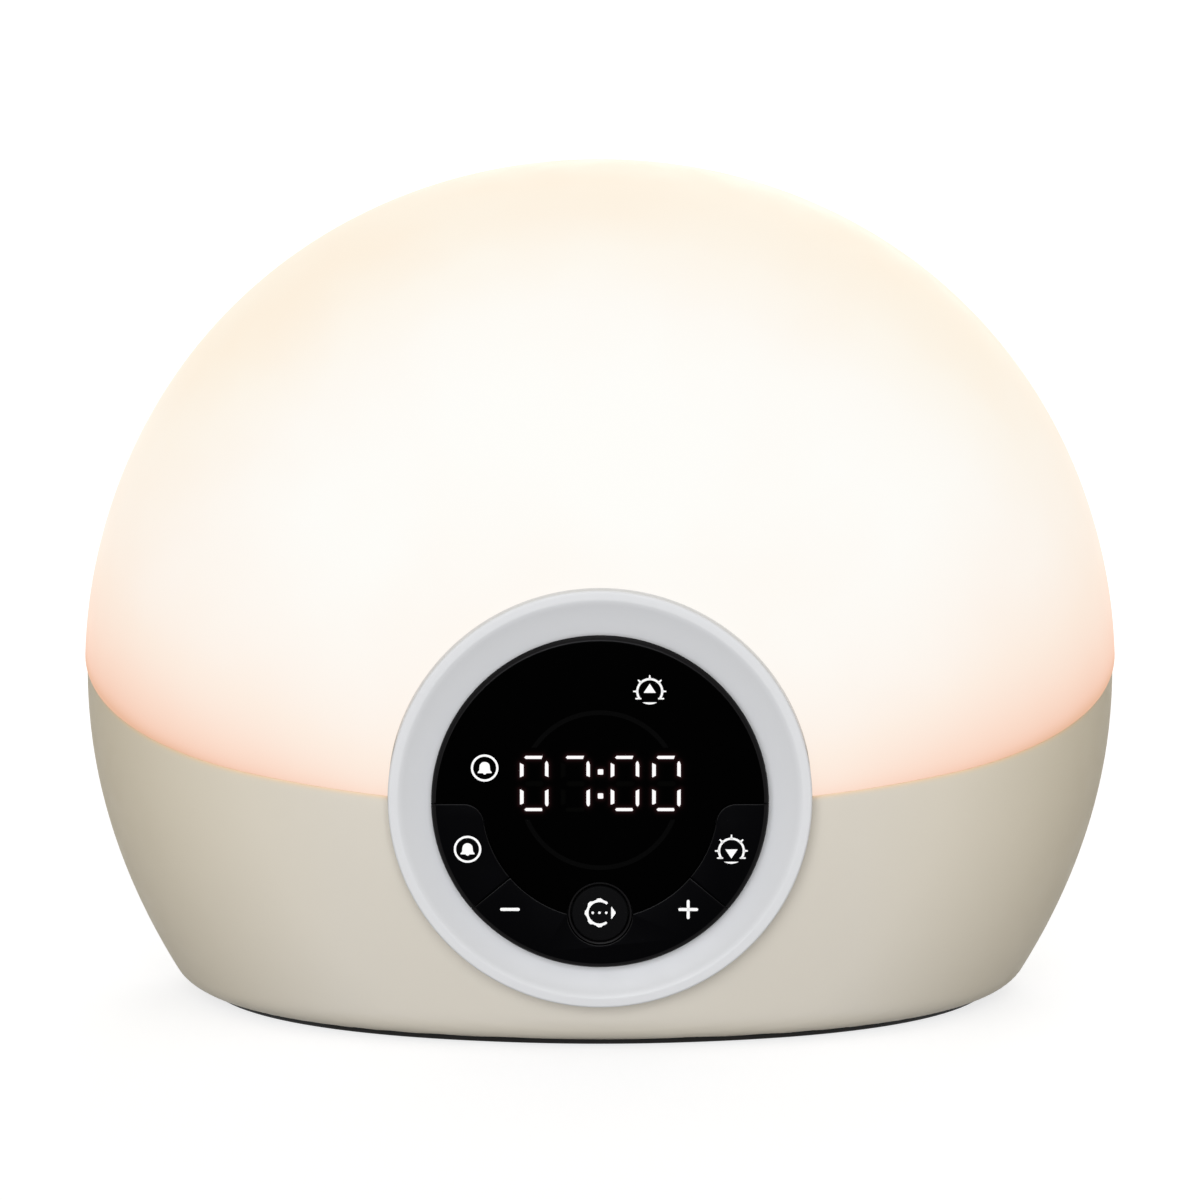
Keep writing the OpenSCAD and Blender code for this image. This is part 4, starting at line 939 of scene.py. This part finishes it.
class Nodes:
    """Short calls that add shader nodes to a tree. Each returns an output."""

    def __init__(self, tree):
        self.tree = tree

    def connect(self, socket, value):
        if isinstance(value, bpy.types.NodeSocket):
            self.tree.links.new(value, socket)
        else:
            socket.default_value = value

    def add(self, kind, inputs=None, output=0, **settings):
        made = self.tree.nodes.new("ShaderNode" + kind)
        for key, value in settings.items():
            setattr(made, key, value)
        for key, value in (inputs or {}).items():
            self.connect(made.inputs[key], value)
        return made.outputs[output]

    def math(self, operation, *values):
        return self.add("Math", dict(enumerate(values)), operation=operation)

    def vector(self, operation, *values, output="Vector"):
        return self.add("VectorMath", dict(enumerate(values)), output, operation=operation)

    def scale(self, vector, share):
        return self.add("VectorMath", {0: vector, "Scale": share}, "Vector", operation="SCALE")

    def mix(self, share, first, second, **settings):
        return self.add("Mix", {"Factor": share, "A": first, "B": second}, "Result", data_type="RGBA", **settings)

    def spread(self, value, low, high, start=0.0, end=1.0, **settings):
        """low where the value is start, high where it is end."""
        limits = {"Value": value, "From Min": start, "From Max": end, "To Min": low, "To Max": high}
        return self.add("MapRange", limits, **settings)

    def place(self):
        return self.add("TexCoord", output="Object")

    def noise(self, size, detail=2.0, vector=None, roughness=0.5):
        """A noise with features of that size in metres."""
        inputs = {"Vector": vector or self.place(), "Scale": 1 / size, "Detail": detail, "Roughness": roughness}
        return self.add("TexNoise", inputs, "Fac")

    def along(self, way, origin=(0, 0, 0)):
        """How far a point of the surface lies from an origin along a way."""
        return self.vector("DOT_PRODUCT", self.vector("SUBTRACT", self.place(), origin), way, output="Value")

    def off_axis(self, height):
        """How far a point lies from a line along Y at a height."""
        flat = self.vector("MULTIPLY", self.place(), (1, 0, 1))
        return self.vector("DISTANCE", flat, (0, 0, height), output="Value")

    def fading(self, distance, length):
        """1 at no distance, falling off with a length as light does in opal plastic."""
        return self.math("EXPONENT", self.math("MULTIPLY", distance, -1 / length))

    def bell_curve(self, distance, width):
        share = self.math("MULTIPLY", distance, 1 / width)
        return self.math("EXPONENT", self.math("MULTIPLY", self.math("MULTIPLY", share, share), -1.0))

    def ramp(self, value, stops):
        node = self.tree.nodes.new("ShaderNodeValToRGB")
        while len(node.color_ramp.elements) < len(stops):
            node.color_ramp.elements.new(0.5)
        for element, (position, colour) in zip(node.color_ramp.elements, stops):
            element.position, element.color = position, rgb(*colour)
        self.connect(node.inputs["Fac"], value)
        return node.outputs["Color"]

    def seam_distance(self):
        """How far a point of the surface lies above the seam, and how far to the side of the clock's middle."""
        side = self.math("ABSOLUTE", self.along((1, 0, 0)))
        rise = self.bell_curve(self.math("SUBTRACT", side, SEAM_RISE_X), SEAM_RISE_WIDTH)
        rise = self.math("MULTIPLY", rise, SEAM_RISE * math.cos(SEAM_TILT))
        return self.math("SUBTRACT", self.along(SEAM_UP, (0, WIDE_Y, SEAM_H)), rise), side

    def surface(self, kind, shader):
        """Ends the tree with an output node."""
        self.connect(self.tree.nodes.new("ShaderNode" + kind).inputs["Surface"], shader)

    def seen_directly(self):
        """1 for rays of the camera, of reflections and of clear material, 0 for light that falls on the object."""
        path = self.tree.nodes.new("ShaderNodeLightPath").outputs
        either = self.math("MAXIMUM", path["Is Camera Ray"], path["Is Glossy Ray"])
        return self.math("MAXIMUM", either, path["Is Transmission Ray"])


class Finish(Nodes):
    """A material with one Principled shader."""

    def __init__(self, name, **values):
        self.material = bpy.data.materials.new(name)
        self.material.use_nodes = True
        super().__init__(self.material.node_tree)
        self.shader = self.tree.nodes["Principled BSDF"]
        self.set(**values)

    def set(self, **values):
        """Gives sockets of the shader a value or a link; an underscore in a name stands for a space."""
        for key, value in values.items():
            self.connect(self.shader.inputs[key.replace("_", " ")], value)

    def vary(self, colour, noise, dark, light, roughness=None):
        """Lets the colour, and the roughness within (low, high), follow a noise."""
        self.set(Base_Color=self.mix(noise, shade(colour, dark), shade(colour, light)))
        if roughness:
            self.rough(noise, *roughness)

    def rough(self, noise, low, high):
        self.set(Roughness=self.spread(noise, low, high, NOISE_LOW, NOISE_HIGH))

    def bump(self, height, distance, strength=1.0):
        bumps = self.add("Bump", {"Height": height, "Distance": distance, "Strength": strength}, "Normal")
        self.set(Normal=bumps)

    def glow(self, light, body_share):
        """Gives off light, with a body of the same colour but darker."""
        self.set(Emission_Color=light, Base_Color=self.scale(light, body_share))

    def tint(self, share, colour):
        """Multiplies the colour by another, by a share that varies."""
        socket = self.shader.inputs["Base Color"]
        self.connect(socket, self.mix(share, socket.links[0].from_socket, (*colour, 1), blend_type="MULTIPLY"))


def plastic(name, colour, roughness, specular=0.4, grain=0.3, depth=0.004, mottle=0.03):
    """Moulded plastic: fine grain as bump, faint cloudy colour and a roughness that varies. grain and depth are
    the bump's size and height in millimetres."""
    made = Finish(name, Specular_IOR_Level=specular)
    made.vary(colour, made.noise(COLOUR_CLOUD, 3), 1 - mottle, 1 + mottle)
    made.rough(made.noise(WEAR_CLOUD, 4), roughness - 0.05, roughness + 0.05)
    made.bump(made.noise(grain * MM, 1.5), depth * MM)
    return made


def shell_plastic(name, leaks=False):
    """Beige plastic, with painted shade that makes it a little darker and warmer at the sides and the foot. With
    leaks, the dome's light gets into it along the seam, painted as a warm tint and a faint glow."""
    made = plastic(name, rgb(212, 206, 194), 0.55, specular=0.25, grain=0.35, depth=0.005, mottle=0.012)
    above, side = made.seam_distance()
    # Painted shade: towards the sides and the foot the colour is multiplied by a darker, warmer beige
    low = made.spread(made.along((0, 0, 1)), 0.5, 0.0, 1.5 * MM, 6 * MM)
    made.tint(made.math("MAXIMUM", made.spread(side, 0.0, 1.0, 50 * MM, BODY_R), low), (1.0, 0.955, 0.84))
    if leaks:
        # Painted light from the dome along the seam: a warm tint and a faint glow
        leak = made.bell_curve(above, 0.7 * MM)
        made.tint(leak, (1.0, 0.91, 0.76))
        made.set(Emission_Color=made.scale((0.11, 0.035, 0.0), leak), Emission_Strength=1.0)
    return made


def opal():
    """The lit dome. Its light is whitest in the middle, cream towards its rim and peach along the seam."""
    made = Finish("opal_plastic", Specular_IOR_Level=0.01, Emission_Strength=0.93)
    outer = made.spread(made.off_axis(AXIS_H), 0.0, 1.0, 62 * MM, BODY_R, interpolation_type="SMOOTHSTEP")
    rise = made.along((0, 0, 1), (0, 0, AXIS_H))
    rim = made.math("MULTIPLY", outer, made.spread(rise, 0.2, 1.0, 0.0, 0.65 * BODY_R))
    above, side = made.seam_distance()
    wide = made.math("MULTIPLY", made.fading(above, 15 * MM), 0.72)
    narrow = made.math("MULTIPLY", made.fading(above, 1.5 * MM), 0.2)
    seam = made.math("MULTIPLY", made.math("ADD", wide, narrow), made.spread(side, 0.6, 1.3, 45 * MM, 98 * MM))
    waver = made.spread(made.noise(45 * MM, 3), -0.035, 0.035, NOISE_LOW, NOISE_HIGH)
    cream = made.ramp(made.math("ADD", rim, waver), [
        (0.0, (254, 253, 249)), (0.4, (254, 251, 245)), (0.75, (254, 248, 237)), (1.0, (254, 243, 226))])
    peach = made.ramp(made.math("ADD", seam, waver), [
        (0.0, (255, 255, 255)), (0.25, (255, 241, 232)), (0.5, (254, 226, 212)), (0.75, (250, 211, 193)),
        (1.0, (238, 191, 165))])
    made.glow(made.vector("MULTIPLY", cream, peach), 0.065)
    made.rough(made.noise(8 * MM, 4), 0.44, 0.56)
    made.bump(made.noise(0.4 * MM, 1.5), 0.003 * MM)
    return made


def ring_plastic():
    """White plastic, with painted shade that makes it a little greyer in the ring's recessed dish than on its lip.
    """
    made = plastic("ring_plastic", rgb(212, 213, 215), 0.36, specular=0.25, depth=0.0015, mottle=0.008)
    lip_in = RING_R - RING_LIP
    # Painted shade in the recessed dish: its colour is scaled down by this share
    share = made.spread(made.off_axis(DISPLAY_H), 0.945, 1.0, lip_in - 0.8 * MM, lip_in + 0.4 * MM)
    made.set(Base_Color=made.scale(made.shader.inputs["Base Color"].links[0].from_socket, share))
    return made


def printed_light(name, colour, body_share, strength):
    """White symbols with light behind them, a little uneven as screen print is."""
    made = Finish(name, Specular_IOR_Level=0.2, Emission_Strength=strength)
    speck = made.noise(0.25 * MM)
    made.glow(made.mix(speck, shade(colour, 0.94), colour), body_share)
    made.set(Roughness=made.spread(speck, 0.4, 0.55))
    made.bump(speck, 0.002 * MM)
    return made


def smoked_lens(name, over_digits=False):
    """Glossy black, with faint smears and ripples. Over the digits it also shows their reddish halo and the unlit
    bars behind it, the bars as a faint painted glow."""
    made = Finish(name, Specular_IOR_Level=0.003)
    made.vary((0.0003, 0.0003, 0.0003), made.noise(30 * MM), 0.6, 1.4)
    made.rough(made.noise(9 * MM, 5, roughness=0.6), 0.03, 0.12)
    made.bump(made.noise(14 * MM, 1), 0.01 * MM, 0.4)
    if over_digits:
        halo, unlit = (made.add("Attribute", output="Fac", attribute_name=key) for key in ("halo", "unlit"))
        # The unlit bars are painted as a faint grey glow
        red, grey = made.scale((0.021, 0.007, 0.008), halo), made.scale((0.0012, 0.0012, 0.001), unlit)
        made.set(Emission_Color=made.vector("ADD", red, grey), Emission_Strength=1.0)
    return made


def metal(name, colour, roughness, brushed=(1, 1, 1)):
    """Metal with fine drawn lines; brushed stretches them along an axis."""
    made = Finish(name, Metallic=1.0)
    lines = made.noise(0.4 * MM, 4, made.vector("MULTIPLY", made.place(), brushed))
    made.vary(colour, lines, 0.85, 1.1, (roughness * 0.7, roughness * 1.3))
    made.bump(lines, 0.006 * MM)
    return made


def circuit(name, mask, copper):
    """A circuit board: solder mask over square runs of track, with bare pads."""
    made = Finish(name, Specular_IOR_Level=0.5)
    place = made.place()
    tracks = made.add("TexVoronoi", {"Vector": place, "Scale": 1 / (3 * MM)}, "Distance", distance="CHEBYCHEV")
    track = made.spread(tracks, 0.0, 1.0, 0.32, 0.36)
    pads = made.add("TexVoronoi", {"Vector": place, "Scale": 1 / (6 * MM), "Randomness": 0.4}, "Distance")
    pad = made.spread(pads, 1.0, 0.0, 0.12, 0.14)
    made.set(
        Base_Color=made.mix(pad, made.mix(track, shade(mask, 1.35), mask), copper),
        Roughness=made.spread(pad, 0.35, 0.22))
    made.bump(track, -0.02 * MM)
    return made


def ribbon():
    """Flat ribbon cable: parallel cores along its length, one to a millimetre."""
    made = Finish("ribbon_cable", Roughness=0.5)
    wave = made.math("SINE", made.math("MULTIPLY", made.along((1, 0, 0)), 2 * math.pi / MM))
    made.set(Base_Color=made.mix(made.spread(wave, 0.0, 1.0, -1, 1), rgb(176, 174, 168), rgb(208, 206, 200)))
    made.bump(wave, 0.1 * MM)
    return made


# ---- Build ----

opal_finish = opal()
shell_finish = shell_plastic("beige_plastic")
front_shell_finish = shell_plastic("beige_plastic_front", leaks=True)
ring_finish = ring_plastic()
drum_finish = plastic("drum_plastic", rgb(10, 10, 11), 0.32, specular=0.1, mottle=0.1)
key_finish = plastic("key_plastic", rgb(3, 3, 4), 0.42, specular=0.008, grain=0.25, depth=0.003, mottle=0.15)
menu_finish = plastic("menu_plastic", rgb(11, 11, 12), 0.42, specular=0.01, grain=0.25, depth=0.003, mottle=0.1)
plate_finish = plastic("plate_plastic", rgb(19, 18, 17), 0.6, specular=0.15, grain=0.8, depth=0.03, mottle=0.1)
rubber_finish = plastic("foot_rubber", rgb(36, 36, 38), 0.85, specular=0.2, grain=0.5, depth=0.02, mottle=0.12)
socket_finish = plastic("socket_plastic", rgb(24, 24, 26), 0.4, mottle=0.1)
part_finish = plastic("component_plastic", rgb(34, 35, 38), 0.5, grain=0.4, depth=0.01, mottle=0.12)
cone_finish = plastic("speaker_paper", rgb(30, 30, 33), 0.8, specular=0.2, grain=0.6, depth=0.05, mottle=0.2)
steel_finish = metal("screw_steel", rgb(176, 178, 182), 0.32)
sheet_finish = metal("aluminium_sheet", rgb(205, 208, 212), 0.38, brushed=(0.08, 1, 1))
mark_finish = printed_light("symbol_white", rgb(252, 252, 252), 0.8, 0.2)
digit_finish = printed_light("digit_white", rgb(255, 252, 252), 0.1, 0.92)
faint_finish = plastic("faint_print", rgb(6, 6, 6), 0.35, specular=0.004, mottle=0.1)
# Polished edges of the lens, the keys and the collar, painted lighter as a highlight
polish_and_painted_highlight = plastic("polished_edge_painted_highlight", rgb(15, 14, 15), 0.3, specular=0.06, grain=0.2, depth=0.001, mottle=0.1)
lens_finish = smoked_lens("smoked_lens")
window_finish = smoked_lens("lens_over_digits", over_digits=True)

dome(opal_finish)
base_cover(front_shell_finish)
rear_cover(shell_finish)
trim_ring(ring_finish)
drum_case(drum_finish)
menu_collar(key_finish, polish_and_painted_highlight)
face_plate("lens", lens_outline, LENS_BACK_Y, lens_finish, polish_and_painted_highlight, "housing", "lens_black", "display_lens")
for name, side, body, node in (
        ("alarm_cap", -1, "alarm_button", "alarm_key"), ("light_cap", 1, "light_button", "light_key")):
    face_plate(
        name, lambda r, trim: outer_key_outline(r, trim, side), CAP_BACK_Y, key_finish, polish_and_painted_highlight,
        body, "key_black", node, [post_place(side, KEY_POST_ANGLE)])
face_plate(
    "rocker_cap", rocker_outline, CAP_BACK_Y, key_finish, polish_and_painted_highlight, "rocker", "key_black", "rocker_key",
    [post_place(side, ROCKER_POST_ANGLE) for side in (-1, 1)], POST_R - 0.1 * MM)
menu_cap(menu_finish)

minus = capsule(-1.6, 0, 1.6, 0, 0.6)
plus = [minus, capsule(0, 0.3, 0, 1.6, 0.58), capsule(0, -1.6, 0, -0.3, 0.58)]
mark("alarm_mark", bell(), -25.4, -9.0, mark_finish, "alarm_button", "ring_white", ringed=True)
mark("light_mark", sun(-1), 25.2, -9.32, mark_finish, "light_button", "ring_white")
mark("minus_mark", [minus], -17.3, -20.78, mark_finish, "rocker", "ring_white")
mark("plus_mark", plus, 16.95, -20.8, mark_finish, "rocker", "ring_white")
mark("menu_mark", menu_symbol(), -0.1, -21.45, mark_finish, "menu", "ring_white")
mark("alarm_indicator", bell(), -22.06, 6.85, mark_finish, "housing", "led_clear", ringed=True)
mark("sunrise_indicator", sun(1), 9.49, 21.72, mark_finish, "housing", "led_clear")
mark("time_digits", time_outlines(), 0, DIGIT_RISE / MM, digit_finish, "housing", "led_clear")
digit_window(window_finish)
halves = [band(15.1, 0.9, 29, 151, 80), band(15.1, 0.9, 201, 339, 90)]
mark("lens_circle", halves, 0, 2.5, faint_finish, "housing", "lens_black", front=FACE_Y + 0.85 * MARK_T)

underside_plate(plate_finish)
for number, place in enumerate(FOOT_PLACES, 1):
    foot_pad(f"foot_pad_{number}", place, rubber_finish)
rear_end, under_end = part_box("rear_screws")[0].y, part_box("bottom_screws")[1].z
for number, place in enumerate(REAR_SCREWS, 1):
    screw(f"rear_screw_{number}", place, "Y", REAR_SEAT_Y, HEAD_T, rear_end, steel_finish, "rear_screws")
for number, place in enumerate(UNDER_SCREWS, 1):
    screw(f"under_screw_{number}", place, "Z", FOOT_TOP, -UNDER_HEAD_T, under_end, steel_finish, "bottom_screws")
power_socket(socket_finish, steel_finish)
speaker_cone(cone_finish)

INSIDE = {
    circuit("board_green", rgb(20, 84, 48), rgb(196, 178, 120)): ["control_board", "main_board"],
    circuit("board_white", rgb(232, 232, 226), rgb(206, 190, 140)): ["light_board"],
    part_finish: ["display_back_cover", "switch_bodies", "board_components", "digit_module"],
    steel_finish: [
        "ring_screws", "cover_screws", "light_screws", "board_screws", "reflector_screws", "rocker_pin",
        "speaker_magnet"],
    sheet_finish: ["heat_spreader"],
    plastic("reflector_plastic", rgb(238, 238, 234), 0.45, grain=0.5): ["reflector"],
    plastic("plunger_plastic", rgb(214, 214, 210), 0.4): [
        "alarm_plunger", "light_plunger", "rocker_plungers", "menu_plunger"],
    plastic("clear_plastic", rgb(220, 228, 232), 0.15): ["indicator_leds", "light_pipes"],
    plastic("led_phosphor", rgb(240, 206, 96), 0.5, grain=0.2, depth=0.02): ["light_leds"],
    ribbon(): ["display_ribbon"],
    plastic("red_insulation", rgb(168, 40, 34), 0.4): ["light_wires"],
    plastic("black_insulation", rgb(40, 40, 42), 0.4): ["speaker_wires"],
}
for finish, names in INSIDE.items():
    for name in names:
        materials = frame["nodes"][name].data.materials
        materials.clear()
        materials.append(finish.material)


# ---- Stage, light and camera ----

def floor():
    """A pale floor that keeps the clock's shadow. Rays that look at it also see light of its own, a little less
    near the clock, which makes it white."""
    bpy.ops.mesh.primitive_plane_add(size=40, location=(0, 0, 0))
    made = bpy.context.object
    made.name = "floor"
    material = bpy.data.materials.new("floor_paper")
    material.use_nodes = True
    nodes = Nodes(material.node_tree)
    nodes.tree.nodes.clear()
    matt = nodes.add("BsdfDiffuse", {"Color": (0.38, 0.385, 0.4, 1)})
    away = nodes.vector("LENGTH", nodes.place(), output="Value")
    white = nodes.spread(away, 0.74, 1.0, 0.15, 1.2)
    shown = nodes.math("MULTIPLY", nodes.seen_directly(), white)
    light = nodes.add("Emission", {"Color": (1, 1, 1, 1), "Strength": shown})
    nodes.surface("OutputMaterial", nodes.add("AddShader", {0: matt, 1: light}))
    made.data.materials.append(material)


def world():
    """Warm light from all round, and white where rays look past the clock."""
    made = bpy.data.worlds.new("studio")
    bpy.context.scene.world = made
    made.use_nodes = True
    nodes = Nodes(made.node_tree)
    nodes.tree.nodes.clear()
    ambient = nodes.add("Background", {"Color": (1.0, 0.93, 0.77, 1), "Strength": 0.4})
    white = nodes.add("Background", {"Color": (1, 1, 1, 1), "Strength": 1.0})
    nodes.surface("OutputWorld", nodes.add("MixShader", {0: nodes.seen_directly(), 1: ambient, 2: white}))


def softbox(name, place, target, size, level, colour=(1, 1, 1)):
    """A square lamp that lights a white card at target, turned to it, to a level of 0 to 1."""
    away = np.array(place) - np.array(target)
    data = bpy.data.lights.new(name, "AREA")
    data.size, data.color = size, colour
    data.energy = level * math.pi ** 2 * np.linalg.norm(away) ** 2
    made = add_object(name, data)
    made.location = place
    flat = math.hypot(away[0], away[1])
    made.rotation_euler = (math.atan2(flat, away[2]), 0, math.atan2(away[1], away[0]) + math.pi / 2)


def camera():
    """The photograph's view: a long lens a little above the clock."""
    elevation, distance, lens_length = 8.8, 1.0, 147
    target = (0, WIDE_Y, 80.2 * MM)
    data = bpy.data.cameras.new("camera")
    data.lens, data.sensor_width = lens_length, 36
    made = add_object("camera", data)
    e = math.radians(elevation)
    made.location = (target[0], target[1] - distance * math.cos(e), target[2] + distance * math.sin(e))
    made.rotation_euler = (math.radians(90 - elevation), 0, 0)
    bpy.context.scene.camera = made


MIDDLE = (0, WIDE_Y, 80 * MM)
floor()
world()
softbox("front_light", (-0.12, -2.0, 0.48), MIDDLE, 1.2, 0.84, (0.98, 1.0, 1.05))
softbox("top_light", (0.0, -0.2, 2.0), MIDDLE, 1.2, 0.12)
softbox("back_light", (0.4, 1.9, 1.1), MIDDLE, 1.4, 0.42)
camera()
bpy.context.scene.view_settings.view_transform = "Standard"
